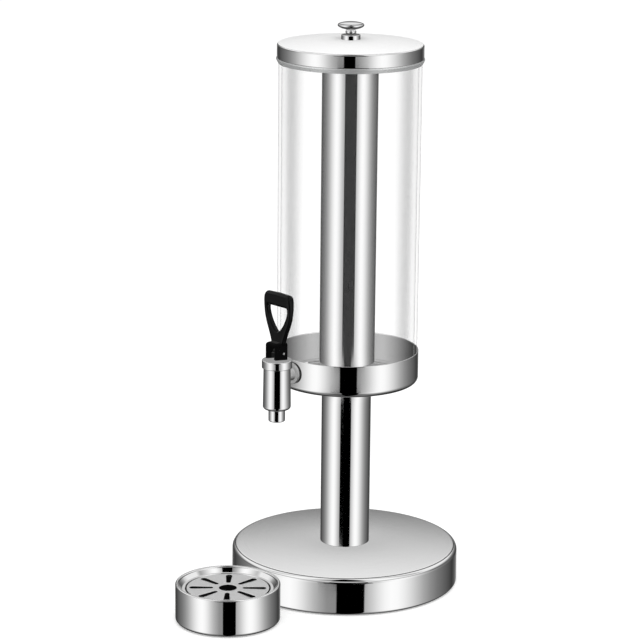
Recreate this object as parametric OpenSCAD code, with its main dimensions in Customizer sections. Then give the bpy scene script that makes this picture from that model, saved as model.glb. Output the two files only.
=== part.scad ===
// Buffet beverage dispenser: a clear vessel in a steel pan, on a column and a weighted base,
// with an ice tube, a lift-off lid, a pull tap and a drip tray that stands in front.
// The tap points along -Y, +Z is up, and the origin lies on the table under the column.

/* [Base] */
// Radius of the base at its foot
base_r = 115; // [104:0.1:128]
// Height of the base's side up to its shoulder
base_side_h = 38.5; // [32:0.5:46]
// Rise of the domed top from the shoulder to the column
base_rise = 2.5; // [2:0.5:8]
// How far the side leans inwards on its way up
base_lean = 1.4; // [0.4:0.1:3]
// Radius of the rounded shoulder
base_round = 5; // [3:0.5:7]
// Radius of the rounded lower edge
base_edge = 2.5; // [2:0.5:4]
// Width of the hem that turns in under the lower edge
base_hem_w = 6; // [5:0.5:8]
// Thickness of the base's sheet
base_sheet = 1.2; // [0.8:0.1:1.5]
// Thickness of the rubber mat under the base
base_mat_h = 2.2; // [2:0.1:4]
// Thickness of the plate that closes the base
base_plate_h = 1; // [0.8:0.1:2]
// Gap between the cast weight and the foot of the base
weight_gap = 11.4; // [9:0.1:24]
// Thickness of the cast weight
weight_h = 12; // [11:0.5:15]
// Height of the weight's posts above the closing plate
post_h = 8.8; // [7:0.2:10]
// Distance of the posts from the weight's edge
post_in = 24; // [8:1:50]

/* [Column] */
// Radius of the column
column_r = 24.9; // [20:0.1:30]
// Height of the column between the base and the pan
column_h = 169.5; // [140:0.5:200]
// Wall of the column
column_wall = 1.5; // [1:0.1:3]
// Height of the plug in each end of the column
plug_h = 10; // [6:0.5:20]
// Radius of the tie rod
rod_r = 5; // [4:0.1:6]

/* [Vessel and pan] */
// Outer radius of the clear vessel
vessel_r = 70.4; // [66:0.1:80]
// Height of the clear vessel
vessel_h = 333.5; // [290:0.5:380]
// Wall of the clear vessel
vessel_wall = 3; // [2.5:0.1:4]
// Floor of the clear vessel
vessel_floor = 3; // [2.5:0.1:5]
// Height of the steel pan
pan_h = 32; // [29:0.1:36]
// Wall of the steel pan
pan_wall = 1; // [0.8:0.1:1.5]
// Outer radius of the pan's lower corner
pan_round = 5; // [4:0.1:6]

/* [Clamp and ice tube] */
// Radius of the clamp boss on the vessel's floor
boss_r = 18; // [16:0.5:21]
// Height of the clamp boss up to the ice tube
boss_h = 14; // [12:0.5:20]
// Radius of the spigot that centres the ice tube
spigot_r = 12; // [10.5:0.1:13]
// Height of the spigot above the boss
spigot_h = 6; // [5:0.1:9]
// Thickness of the gasket under the boss
floor_gasket_h = 1; // [0.6:0.1:2]
// Outer radius of the ice tube
ice_tube_r = 27.8; // [25:0.1:33]
// Wall of the ice tube
ice_tube_wall = 1; // [0.8:0.1:2]
// How far the ice tube ends below the vessel's rim
ice_tube_drop = 4; // [1:0.5:20]

/* [Lid] */
// Height of the lid's band
lid_band_h = 14; // [13:0.1:18]
// Rise of the lid's crown above its band
lid_rise = 4.1; // [2:0.1:8]
// Thickness of the lid's sheet
lid_wall = 0.9; // [0.7:0.05:1.2]
// Radius of the round edge between the band and the crown
lid_round = 2; // [1.4:0.1:3]
// Depth to which the lid and the rim gasket cover the vessel's rim
rim_cover_h = 9; // [7:0.1:10]
// Thickness of the rim gasket around the vessel's rim
rim_skin = 0.5; // [0.4:0.05:1]
// Height of the rim gasket's flange, which shows below the lid
rim_flange_h = 5; // [3:0.1:8]
// How far the rim gasket's flange stands out from the lid
rim_flange_out = 0.7; // [0.3:0.1:2]
// Radius of the knob's foot
knob_foot_r = 9.5; // [8:0.1:12]
// Height of the knob's foot
knob_foot_h = 4.5; // [3:0.1:6]
// Radius of the knob's bead
knob_bead_r = 5.35; // [4.8:0.05:7]
// Height of the knob's bead
knob_bead_h = 5.2; // [4.6:0.1:5.6]
// Radius of the knob's head
knob_r = 13; // [11:0.1:18]
// Height of the knob's head
knob_h = 7.5; // [6:0.1:10]

/* [Tap] */
// Distance from the pan's wall to the tap's axis
tap_out = 22.6; // [21:0.1:30]
// Height of the tap's shank above the pan's underside
shank_rise = 19.5; // [16:0.1:21]
// Radius of the shank
shank_r = 7; // [6:0.1:7.5]
// Radius of the shank's bore
shank_bore_r = 4.5; // [3:0.1:5]
// Radius of the shank's flange and washers
shank_flange_r = 10.5; // [9.5:0.1:12]
// Thickness of the shank's flange
shank_flange_h = 2.5; // [1.5:0.1:4]
// Thickness of the saddle washer outside the pan, where it is thinnest
outer_washer_h = 2.1; // [1.5:0.1:3]
// Thickness of the washer inside the vessel, where it is thickest
inner_washer_h = 2.5; // [2.2:0.1:4]
// Height of the barrel above the shank's axis
barrel_up = 9.4; // [8:0.1:12]
// Depth of the barrel below the shank's axis
barrel_down = 32.6; // [28:0.1:40]
// Radius of the barrel at its top
barrel_r = 13.35; // [13:0.05:15]
// How much the barrel widens towards its foot
barrel_flare = 0.5; // [0:0.1:1.5]
// Radius of the barrel's lower corner
barrel_round = 3; // [1:0.1:4]
// Thickness of the barrel's floor
barrel_floor = 3; // [2:0.1:5]
// Radius of the chamber in the barrel
chamber_r = 11; // [10.6:0.05:11.5]
// Radius of the spout
spout_r = 8.25; // [7.2:0.05:9]
// Radius of the spout's bore
spout_bore_r = 6; // [4.5:0.1:6.5]
// Length of the spout below the barrel
spout_drop = 12.4; // [8:0.1:20]
// Radius of the bonnet ring
ring_r = 15; // [14.4:0.1:17]
// Height of the bonnet ring
ring_h = 8; // [6.5:0.1:10]

/* [Handle] */
// Height of the handle's pin above the bonnet ring
pin_rise = 7; // [6.6:0.1:8]
// How far the pin lies behind the tap's axis
pin_back = 2; // [1:0.1:2.4]
// Radius of the handle's pin
pin_r = 1.5; // [1.2:0.05:1.8]
// Lift of the stem for each radian of the handle's tilt
cam_lift = 5; // [4.5:0.1:5.2]
// Largest tilt of the handle, in degrees
handle_turn = 35; // [25:1:38]
// Width of the handle's block
block_w = 15.6; // [14:0.1:18]
// Reach of the block in front of the pin
block_front = 10.4; // [10.2:0.1:12]
// Reach of the block behind the pin
block_back = 5.2; // [5:0.1:7]
// Height of the block above the pin
block_top = 11.3; // [9:0.1:13]
// Height of the grip's top above the pin
grip_top = 60.4; // [50:0.1:75]
// Half the width of the grip
grip_half_w = 19.2; // [16:0.1:24]
// Thickness of the grip
grip_thick = 6; // [4.5:0.1:8]
// Height of the bar above the grip's window
grip_bar_h = 14; // [10:0.1:18]
// Thickness of that bar
grip_bar_thick = 8; // [6:0.1:10]
// Width of the grip's sides beside the window
grip_side_w = 5.2; // [4:0.1:7]
// Height of the window's tip above the pin
window_low = 21; // [18:0.1:26]

/* [Drip tray] */
// Outer radius of the drip tray
tray_r = 51.4; // [50:0.1:60]
// Height of the drip tray
tray_h = 38.8; // [28:0.1:50]
// Gap between the drip tray and the base
tray_gap = 5; // [1:0.1:30]
// Bearing of the tray from the tap's side towards +X, in degrees
tray_bearing = 5; // [-10:0.1:10]
// Thickness of the tray's sheet
tray_sheet = 1; // [0.8:0.1:1.5]
// Outer radius of the tray's lower corner
tray_round = 3; // [3:0.1:8]
// Width of the tray's rolled rim
tray_rim_w = 3.5; // [3.2:0.1:5]
// Thickness of the rubber mat under the tray
tray_mat_h = 1; // [1:0.1:3]
// Radius of the grate
grate_r = 40.4; // [35:0.1:42.5]
// Thickness of the grate
grate_h = 1.2; // [0.8:0.1:2]
// Depth of the grate below the tray's rim
grate_sink = 5.5; // [4:0.1:9]
// Radius of the hole in the grate's middle
grate_hole_r = 8.7; // [6:0.1:10]
// Distance of the slots' inner ends from the middle
slot_from = 14.4; // [14:0.1:18]
// Width of the slots at their inner ends
slot_in_w = 4.2; // [3:0.1:5]
// Width of the slots at their outer ends
slot_out_w = 6.2; // [5:0.1:7.5]
// Number of slots in the grate
slot_count = 8; // [6:1:10]
// Turn of the first slot, in degrees
slot_turn = 2; // [0:1:44]

/* [Hidden] */
$fn = 96;

// Clearances
fit = 0.05;
loose_fit = 0.1;
seat_gap = 0.2;
lift_gap = 0.3;
overrun = 1;
nut_side_count = 6;
saddle_sides = 360;
arc_steps = 6;

// Base, stacked from the table upwards
edge_low = base_mat_h - base_sheet;
plate_top = base_mat_h + base_plate_h;
weight_r = base_r - weight_gap;
weight_low = plate_top + post_h;
weight_top = weight_low + weight_h;
base_top = base_side_h + base_rise;
shoulder_at = base_r - base_lean - base_round;
shoulder_turn = 84;
land_w = 7.5;
land_r = column_r + land_w;
mat_gap = 0.6;
dome_steps = 10;
post_at = weight_r - post_in;
post_r = 5;
post_count = 3;
post_start = 30;
screw_r = 2;
screw_head_r = 3.9;
screw_head_h = 1.8;
screw_len = 8;
screw_hole_extra = 0.5;
screw_head_clear = 1;

// Column and tie rod
column_top = base_top + column_h;
nut_across = 17;
nut_h = 8;
nut_thread = 3;
rod_washer_r = 12;
rod_washer_h = 2;
nut_recess_r = 14;
nut_boss_r = 30;

// Pan, vessel and clamp
pan_r = vessel_r + lift_gap + pan_wall;
pan_top = column_top + pan_h;
vessel_low = column_top + pan_wall;
vessel_inner_r = vessel_r - vessel_wall;
vessel_inner_low = vessel_low + vessel_floor;
vessel_top = vessel_low + vessel_h;
least_round = 0.5;
gasket_out = 2;
gasket_r = boss_r + gasket_out;
boss_low = vessel_inner_low + floor_gasket_h;
boss_top = boss_low + boss_h;
spigot_top = boss_top + spigot_h;
rod_grip = 10;
rod_top = boss_low + rod_grip;
rod_end_clear = 1;
oring_r = 1.05;
oring_z = boss_top + spigot_h / 2;
groove_r = spigot_r - 2 * oring_r + lift_gap / 2;

// Ice tube
tube_low = boss_top + seat_gap;
tube_top = vessel_top - ice_tube_drop;
cap_h = 1.8;
cup_clear = 0.4;
cup_wall = 2;
cup_top_clear = 1;
cup_inner_top = spigot_top + cup_top_clear;

// Lid and rim gasket
rim_seat = vessel_top - rim_cover_h;
rim_low = rim_seat - rim_flange_h;
rim_top = vessel_top + 2 * rim_skin;
rim_leg = 0.8;
lid_r = vessel_r + rim_skin + lift_gap + lid_wall;
lid_low = rim_seat + seat_gap;
lid_turn = 80;
lid_edge = lid_low + lid_band_h;
lid_top = lid_edge + lid_rise;
lid_land_w = 1;
lid_land_r = knob_foot_r + lid_land_w;
knob_neck_r = 3.6;
knob_screw_len = 9.6;
knob_edge = 0.6;
knob_rim_h = 0.7;
knob_washer_r = 6;
knob_washer_h = 1;
knob_head_r = 3.8;
knob_head_h = 2.6;

// Tap, stacked along its own axis
tap_reach = pan_r + tap_out;
shank_z = column_top + shank_rise;
flange_back = -pan_r - outer_washer_h;
washer_face = -vessel_inner_r + inner_washer_h;
lock_nut_h = 6;
lock_nut_across = 20;
shank_thread = 3;
shank_hole_r = shank_r + lift_gap;
barrel_top = shank_z + barrel_up;
barrel_low = shank_z - barrel_down;
chamber_low = barrel_low + barrel_floor;
spout_low = barrel_low - spout_drop;
spout_edge = 1.2;
spout_flange_gap = 0.4;
spout_flange_r = chamber_r - spout_flange_gap;
spout_flange_h = 2.3;
seat_top = chamber_low + spout_flange_h;
seal_low = seat_top + seat_gap;
seal_h = 4.1;
seal_r = 9.3;
seal_floor = 1.3;
stem_r = 3;
stem_tip_r = 2;
stem_flange_r = 8;
stem_flange_h = 2;
stem_flange_top = seal_low + seal_h + stem_flange_h;
ring_top = barrel_top + ring_h;
ring_cap_h = 2;
ring_edge = 0.6;
neck_wall = 0.9;
neck_r = chamber_r + neck_wall;
guide_flange_h = 1.5;
guide_drop = 5;
guide_low = barrel_top - guide_drop;
neck_top = ring_top - ring_cap_h - guide_flange_h;
guide_oring_r = 1.1;
guide_pocket_r = stem_r + 2 * guide_oring_r + seat_gap;
guide_pocket_h = 2.4;

// Valve spring
spring_wire_r = 0.6;
spring_mean_r = 6.5;
spring_turns = 7;
spring_closed_turns = 1;
spring_closed_share = 1.15;
spring_turn_steps = 20;
spring_sides = 8;

// Handle, measured from its pin
pin_y = pin_back - tap_reach;
pin_z = ring_top + pin_rise;
cam_low = pin_rise - lift_gap / 2;
cam_steps = 8;
tongue_half_w = 4.8;
tongue_r = 3.6;
tongue_lift = 2;
slot_half_w = tongue_half_w + seat_gap;
tongue_gap = 0.4;
slot_back = tongue_r + tongue_gap;
slot_top = 8;
block_round = 3;
grip_low = 8;
grip_h = grip_top - grip_low;
window_top = grip_top - grip_bar_h;
window_half_w = grip_half_w - grip_side_w;
curve_steps = 10;
grip_side_shares = [[0.53, 0.23], [1, 0.42], [1, 0.72]];
grip_corner_shares = [[1, 0.86], [0.985, 0.975], [0.78, 0.99]];
window_side_shares = [[0, 0], [0.25, 0], [0.93, 0.48], [1, 0.9]];
window_corner_shares = [[1, 0.97], [0.97, 1], [0.88, 1]];

// Drip tray, measured from its own axis
tray_at = base_r + tray_gap + tray_r;
rim_round = tray_rim_w / 2;
rim_mid = tray_h - rim_round;
grate_top = tray_h - grate_sink;
grate_low = grate_top - grate_h;
ledge_z = grate_low - seat_gap;
ledge_w = 3.5;
grate_gap = 1.6;
tray_seat_r = grate_r + grate_gap;
recess_flat_share = 0.44;
tray_mat_in = 2;
slot_rim = 2.8;

// Points on a circular arc, in degrees from one angle to another
function arc(centre, r, from, to, steps = arc_steps) =
    [for (i = [0 : steps]) let (a = from + (to - from) * i / steps) centre + r * [cos(a), sin(a)]];

// Points on a cubic curve with four control points
function curve(p, steps = curve_steps) =
    [for (i = [0 : steps]) let (t = i / steps, u = 1 - t)
        u * u * u * p[0] + 3 * u * u * t * p[1] + 3 * u * t * t * p[2] + t * t * t * p[3]];

// Points of a profile in the opposite order
function reversed(points) = [for (i = [len(points) - 1 : -1 : 0]) points[i]];

// Points that lie at the given shares of a width and a height, above a foot
function at_shares(shares, w, h, foot) = [for (s = shares) [s[0] * w, foot + s[1] * h]];

// Half section of a round cup with a rounded lower corner and a bore in its floor
function cup_outline(r, low, high, wall, floor_h, round_r, bore_r) =
    let (inner = max(round_r - wall, least_round))
    concat([[bore_r, low]],
        arc([r - round_r, low + round_r], round_r, -90, 0),
        [[r, high], [r - wall, high]],
        arc([r - wall - inner, low + floor_h + inner], inner, 0, -90),
        [[bore_r, low + floor_h]]);

// Line of the base's sheet, set inwards from its outer face
function base_line(inset) = concat(
    arc([base_r - base_edge, edge_low + base_edge], base_edge - inset, -90, 0),
    arc([shoulder_at, base_side_h - base_round], base_round - inset, 0, shoulder_turn),
    [for (i = [1 : dome_steps])
        let (s = 1 - i / dome_steps, end = shoulder_at + base_round * cos(shoulder_turn))
        [land_r + (end - land_r) * s, base_top - inset - base_rise * s * s]]);

// Line of the lid's sheet, set inwards from its outer face
function lid_line(inset) = concat(
    [[lid_r - inset, lid_low]],
    arc([lid_r - lid_round, lid_edge - lid_round], lid_round - inset, 0, lid_turn),
    [for (i = [1 : dome_steps]) let (s = 1 - i / dome_steps, end = lid_r - lid_round)
        [lid_land_r + (end - lid_land_r) * s, lid_top - inset - lid_rise * s * s]]);

// Point of the handle's cam that touches the ring at a given tilt
function cam_height(tilt) = cam_low + cam_lift * tilt * PI / 180;
function cam_point(tilt) = [-cam_height(tilt) * sin(tilt) - cam_lift * cos(tilt),
    -cam_height(tilt) * cos(tilt) + cam_lift * sin(tilt)];

// Height of the spring's wire above its lower end after a number of turns
function spring_rise(turn, length) =
    let (closed = spring_closed_turns * spring_closed_share * 2 * spring_wire_r,
        open_turns = spring_turns - 2 * spring_closed_turns)
    turn < spring_closed_turns ? closed * turn / spring_closed_turns :
    turn > spring_turns - spring_closed_turns ?
        length - closed * (spring_turns - turn) / spring_closed_turns :
        closed + (length - 2 * closed) * (turn - spring_closed_turns) / open_turns;

// Tube along Z with its lower face at a given height
module pipe(r, bore_r, low, high) {
    difference() {
        translate([0, 0, low]) cylinder(h = high - low, r = r);
        translate([0, 0, low - overrun]) cylinder(h = high - low + 2 * overrun, r = bore_r);
    }
}

// Cylinder along Z between two heights
module rod(r, low, high) {
    translate([0, 0, low]) cylinder(h = high - low, r = r);
}

// Cylinder along Y at the height of the tap's shank
module shank_rod(r, from, to, sides = $fn) {
    translate([0, from, shank_z]) rotate([-90, 0, 0]) cylinder(h = to - from, r = r, $fn = sides);
}

// Ring with a round section
module oring(major_r, minor_r, z) {
    translate([0, 0, z]) rotate_extrude() translate([major_r, 0]) circle(r = minor_r);
}

// Places its children at the tap's axis
module at_tap() {
    translate([0, -tap_reach, 0]) children();
}

// Places its children at the handle's pin
module at_pin() {
    translate([0, pin_y, pin_z]) children();
}

// Places its children at the drip tray's axis
module at_tray() {
    translate([tray_at * sin(tray_bearing), -tray_at * cos(tray_bearing), 0]) children();
}

// Places its children at each post of the weight
module at_posts() {
    for (i = [0 : post_count - 1])
        rotate(post_start + i * 360 / post_count) translate([post_at, 0, 0]) children();
}

module base_shell() {
    color("silver") rotate_extrude()
        polygon(concat([[base_r - base_hem_w, edge_low]], base_line(0),
            [[rod_r + lift_gap, base_top], [rod_r + lift_gap, base_top - base_sheet]],
            reversed(base_line(base_sheet)), [[base_r - base_hem_w, edge_low + base_sheet]]));
}

module base_weight() {
    color("dimgray") difference() {
        union() {
            rod(weight_r, weight_low, weight_top);
            rod(nut_boss_r, weight_low, base_top - base_sheet);
            at_posts() rod(post_r, plate_top, weight_low + overrun);
        }
        rod(nut_recess_r, weight_low - overrun, weight_top);
        rod(rod_r + lift_gap, weight_low, base_top);
        at_posts() rod(screw_r + fit, plate_top - overrun, base_mat_h + screw_len + screw_hole_extra);
    }
}

module base_plate() {
    color("darkgray") difference() {
        rod(base_r - base_edge - lift_gap, base_mat_h, plate_top);
        at_posts() rod(screw_r + loose_fit, base_mat_h - overrun, plate_top + overrun);
    }
}

module base_mat() {
    color("black") difference() {
        rod(base_r - base_hem_w - mat_gap, 0, base_mat_h);
        at_posts() rod(screw_head_r + screw_head_clear, -overrun, base_mat_h + overrun);
    }
}

module plate_screws() {
    color("silver") at_posts() {
        rod(screw_head_r, base_mat_h - screw_head_h, base_mat_h);
        rod(screw_r, base_mat_h - screw_head_h / 2, base_mat_h + screw_len);
    }
}

module column_tube() {
    color("silver") pipe(column_r, column_r - column_wall, base_top, column_top);
}

module column_plug_low() {
    color("gray") pipe(column_r - column_wall - fit, rod_r + loose_fit, base_top, base_top + plug_h);
}

module column_plug_top() {
    color("gray") pipe(column_r - column_wall - fit, rod_r + loose_fit, column_top - plug_h, column_top);
}

module tie_rod() {
    color("silver") rod(rod_r, weight_top - rod_washer_h - nut_h - nut_thread, rod_top);
}

module rod_washer() {
    color("silver") pipe(rod_washer_r, rod_r + loose_fit, weight_top - rod_washer_h, weight_top);
}

module rod_nut() {
    nut_top = weight_top - rod_washer_h;
    color("silver") difference() {
        rod(nut_across / sqrt(3), nut_top - nut_h, nut_top, $fn = nut_side_count);
        rod(rod_r + fit, nut_top - nut_h - overrun, nut_top + overrun);
    }
}

module pan() {
    color("lightgray") difference() {
        rotate_extrude()
            polygon(cup_outline(pan_r, column_top, pan_top, pan_wall, pan_wall, pan_round, rod_r + lift_gap));
        shank_rod(shank_hole_r, -pan_r - overrun, -spigot_r);
    }
}

module vessel() {
    color("azure", 0.3) difference() {
        rotate_extrude()
            polygon(cup_outline(vessel_r, vessel_low, vessel_top, vessel_wall, vessel_floor,
                pan_round, rod_r + lift_gap));
        shank_rod(shank_hole_r, -vessel_r - overrun, -spigot_r);
    }
}

module floor_gasket() {
    color("white") pipe(gasket_r, rod_r + loose_fit, vessel_inner_low, boss_low);
}

module clamp_boss() {
    color("whitesmoke") difference() {
        union() {
            rod(boss_r, boss_low, boss_top);
            rod(spigot_r, boss_low, spigot_top);
        }
        rod(rod_r + loose_fit, boss_low - overrun, rod_top + rod_end_clear);
        pipe(spigot_r + overrun, groove_r, oring_z - oring_r - loose_fit, oring_z + oring_r + loose_fit);
    }
}

module seat_oring() {
    color("black") oring(groove_r + fit + oring_r, oring_r, oring_z);
}

module rim_gasket() {
    skin_r = vessel_r + fit + rim_skin;
    leg_r = vessel_inner_r - fit;
    flange_r = lid_r + rim_flange_out;
    color("white", 0.6) rotate_extrude()
        polygon([[vessel_r + fit, rim_low], [skin_r, rim_low], [flange_r, rim_seat - rim_flange_h / 4],
            [flange_r, rim_seat], [skin_r, rim_seat], [skin_r, rim_top - rim_skin],
            [skin_r - rim_skin, rim_top],
            [leg_r - rim_leg + rim_skin, rim_top], [leg_r - rim_leg, rim_top - rim_skin],
            [leg_r - rim_leg, rim_low], [leg_r, rim_low], [leg_r, vessel_top], [vessel_r + fit, vessel_top]]);
}

module tap_barrel() {
    color("lightgray") difference() {
        union() {
            at_tap() rotate_extrude() polygon(concat([[0, barrel_low]],
                arc([barrel_r + barrel_flare - barrel_round, barrel_low + barrel_round],
                    barrel_round, -90, 0),
                [[barrel_r, barrel_top], [neck_r, barrel_top], [neck_r, neck_top], [0, neck_top]]));
            shank_rod(shank_r, -tap_reach, washer_face + lock_nut_h + shank_thread);
            shank_rod(shank_flange_r, flange_back - shank_flange_h, flange_back);
        }
        at_tap() rod(chamber_r, chamber_low, neck_top + overrun);
        at_tap() rod(spout_r + loose_fit, barrel_low - overrun, chamber_low + overrun);
        shank_rod(shank_bore_r, -tap_reach, washer_face + lock_nut_h + shank_thread + overrun);
    }
}

module spout() {
    color("lightgray") at_tap() rotate_extrude()
        polygon(concat([[spout_bore_r, spout_low]],
            arc([spout_r - spout_edge, spout_low + spout_edge], spout_edge, -90, 0),
            [[spout_r, chamber_low], [spout_flange_r, chamber_low], [spout_flange_r, seat_top],
            [spout_bore_r, seat_top]]));
}

module tap_outer_washer() {
    color("black") difference() {
        shank_rod(shank_flange_r, flange_back, -vessel_inner_r);
        shank_rod(shank_r + fit, flange_back - overrun, -vessel_inner_r + overrun);
        rod(pan_r + fit, shank_z - 2 * shank_flange_r, shank_z + 2 * shank_flange_r, $fn = saddle_sides);
    }
}

module tap_inner_washer() {
    color("black") difference() {
        intersection() {
            shank_rod(shank_flange_r, -vessel_r, washer_face);
            rod(vessel_inner_r - fit, shank_z - 2 * shank_flange_r, shank_z + 2 * shank_flange_r,
                $fn = saddle_sides);
        }
        shank_rod(shank_r + fit, -vessel_r - overrun, washer_face + overrun);
    }
}

module tap_lock_nut() {
    color("lightgray") difference() {
        shank_rod(lock_nut_across / sqrt(3), washer_face, washer_face + lock_nut_h, nut_side_count);
        shank_rod(shank_r + fit, washer_face - overrun, washer_face + lock_nut_h + overrun);
    }
}

module bonnet_ring() {
    color("silver") at_tap() rotate_extrude()
        polygon([[neck_r + loose_fit, barrel_top], [ring_r - ring_edge, barrel_top],
            [ring_r, barrel_top + ring_edge], [ring_r, ring_top - ring_edge], [ring_r - ring_edge, ring_top],
            [stem_r + lift_gap, ring_top], [stem_r + lift_gap, ring_top - ring_cap_h],
            [neck_r + loose_fit, ring_top - ring_cap_h]]);
}

module stem_guide() {
    color("whitesmoke") at_tap() difference() {
        union() {
            rod(chamber_r - loose_fit, guide_low, neck_top + fit);
            rod(neck_r - loose_fit, neck_top, neck_top + guide_flange_h);
        }
        rod(stem_r + fit, guide_low - overrun, ring_top);
        rod(guide_pocket_r, guide_low - overrun, guide_low + guide_pocket_h);
    }
}

module guide_oring() {
    color("black") at_tap()
        oring(stem_r + loose_fit + guide_oring_r, guide_oring_r, guide_low + guide_pocket_h / 2);
}

module valve_spring() {
    low = stem_flange_top + loose_fit + spring_wire_r;
    length = guide_low - loose_fit - spring_wire_r - low;
    ring_count = spring_turns * spring_turn_steps;
    points = [for (i = [0 : ring_count], j = [0 : spring_sides - 1])
        let (a = 360 * i / spring_turn_steps, b = 360 * j / spring_sides,
            r = spring_mean_r + spring_wire_r * cos(b))
        [r * cos(a), r * sin(a), low + spring_rise(i / spring_turn_steps, length) + spring_wire_r * sin(b)]];
    sides = [for (i = [0 : ring_count - 1], j = [0 : spring_sides - 1])
        let (k = (j + 1) % spring_sides, m = i * spring_sides)
        [m + j, m + k, m + k + spring_sides, m + j + spring_sides]];
    low_end = reversed([for (j = [0 : spring_sides - 1]) j]);
    high_end = [for (j = [0 : spring_sides - 1]) ring_count * spring_sides + j];
    color("silver") at_tap() polyhedron(points, concat(sides, [low_end, high_end]));
}

module valve_stem() {
    color("whitesmoke") difference() {
        union() {
            at_tap() {
                rod(stem_tip_r, seal_low + seal_floor + loose_fit, seal_low + seal_h + overrun);
                rod(stem_flange_r, seal_low + seal_h, stem_flange_top);
                rod(stem_r, seal_low + seal_h, ring_top + tongue_lift + overrun);
            }
            translate([-tongue_half_w, -tap_reach - stem_r, ring_top + tongue_lift])
                cube([2 * tongue_half_w, stem_r + pin_back + tongue_r, pin_rise - tongue_lift]);
            at_pin() rotate([0, 90, 0]) cylinder(h = 2 * tongue_half_w, r = tongue_r, center = true);
        }
        at_pin() rotate([0, 90, 0]) cylinder(h = block_w, r = pin_r + fit / 2, center = true);
    }
}

module seat_cup() {
    color("black") at_tap() difference() {
        rod(seal_r, seal_low, seal_low + seal_h);
        rod(stem_tip_r + fit, seal_low + seal_floor, seal_low + seal_h + overrun);
    }
}

module handle_pin() {
    color("silver") at_pin() rotate([0, 90, 0]) cylinder(h = block_w, r = pin_r, center = true);
}

// Side view of the handle's block, with the cam below
module block_side() {
    tip = (block_front * sin(handle_turn) - cam_height(handle_turn)) / cos(handle_turn);
    polygon(concat([for (i = [0 : cam_steps]) cam_point(handle_turn * i / cam_steps)],
        [[-block_front, tip]],
        arc([block_round - block_front, block_top - block_round], block_round, 180, 90),
        arc([block_back - block_round, block_top - block_round], block_round, 90, 0),
        [[block_back, -cam_low]]));
}

// Front view of the grip without its window
module grip_front() {
    side = curve(concat([[block_w / 2, grip_low]],
        at_shares(grip_side_shares, grip_half_w, grip_h, grip_low)));
    corner = curve(concat([side[curve_steps]], at_shares(grip_corner_shares, grip_half_w, grip_h, grip_low)));
    right = concat(side, [for (i = [1 : curve_steps]) corner[i]], [[0, grip_top]]);
    polygon(concat(right, [for (i = [len(right) - 2 : -1 : 0]) [-right[i][0], right[i][1]]]));
}

// Front view of the grip's window
module window_front() {
    window_h = window_top - window_low;
    side = curve(at_shares(window_side_shares, window_half_w, window_h, window_low));
    corner = curve(concat([side[curve_steps]],
        at_shares(window_corner_shares, window_half_w, window_h, window_low)));
    right = concat(side, [for (i = [1 : curve_steps]) corner[i]]);
    polygon(concat(right, [for (i = [len(right) - 1 : -1 : 1]) [-right[i][0], right[i][1]]]));
}

module handle() {
    color("black") at_pin() difference() {
        union() {
            rotate([90, 0, 90]) linear_extrude(height = block_w, center = true) block_side();
            rotate([90, 0, 0]) linear_extrude(height = grip_thick, center = true) grip_front();
            rotate([90, 0, 0]) linear_extrude(height = grip_bar_thick, center = true) intersection() {
                grip_front();
                translate([-grip_half_w, window_top]) square([2 * grip_half_w, grip_bar_h]);
            }
        }
        rotate([90, 0, 0]) linear_extrude(height = grip_bar_thick + overrun, center = true) window_front();
        translate([-slot_half_w, -block_front - overrun, -pin_rise - overrun])
            cube([2 * slot_half_w, block_front + overrun + slot_back, pin_rise + overrun + slot_top]);
        rotate([0, 90, 0]) cylinder(h = block_w + overrun, r = pin_r + fit, center = true);
    }
}

module ice_tube() {
    color("silver") pipe(ice_tube_r, ice_tube_r - ice_tube_wall, tube_low, tube_top);
}

module ice_tube_cap() {
    cup_r = spigot_r + cup_clear;
    color("lightgray") difference() {
        union() {
            rod(ice_tube_r - ice_tube_wall - fit, tube_low, tube_low + cap_h);
            rod(cup_r + cup_wall, tube_low, cup_inner_top + cup_wall);
        }
        rod(cup_r, tube_low - overrun, cup_inner_top);
    }
}

module lid_shell() {
    bore_r = screw_r + seat_gap;
    color("silver") rotate_extrude()
        polygon(concat(lid_line(0), [[bore_r, lid_top], [bore_r, lid_top - lid_wall]],
            reversed(lid_line(lid_wall))));
}

module lid_knob() {
    bead_low = lid_top + knob_foot_h;
    head_low = bead_low + knob_bead_h;
    knob_top = head_low + knob_h;
    bead_half = knob_bead_h / 2;
    rim_z = head_low + knob_h / 2;
    color("silver") difference() {
        rotate_extrude() polygon(concat(
            [[0, lid_top], [knob_foot_r, lid_top], [knob_foot_r, bead_low - knob_edge],
            [knob_foot_r - knob_edge, bead_low], [knob_neck_r, bead_low]],
            arc([knob_bead_r - bead_half, bead_low + bead_half], bead_half, -90, 90),
            [[knob_neck_r, head_low]],
            curve([[knob_neck_r + knob_edge, head_low], [knob_r * 0.6, head_low],
                [knob_r, rim_z - 2 * knob_rim_h], [knob_r, rim_z]]),
            curve([[knob_r, rim_z + knob_rim_h], [knob_r, rim_z + 3 * knob_rim_h],
                [knob_r * 0.6, knob_top], [0, knob_top]])));
        rod(screw_r + fit, lid_top - overrun, lid_top + knob_screw_len - knob_washer_h);
    }
}

module knob_washer() {
    washer_top = lid_top - lid_wall;
    color("silver") pipe(knob_washer_r, screw_r + loose_fit, washer_top - knob_washer_h, washer_top);
}

module knob_screw() {
    head_top = lid_top - lid_wall - knob_washer_h;
    color("silver") {
        rod(knob_head_r, head_top - knob_head_h, head_top);
        rod(screw_r, head_top - knob_head_h / 2, head_top + knob_screw_len);
    }
}

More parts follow.
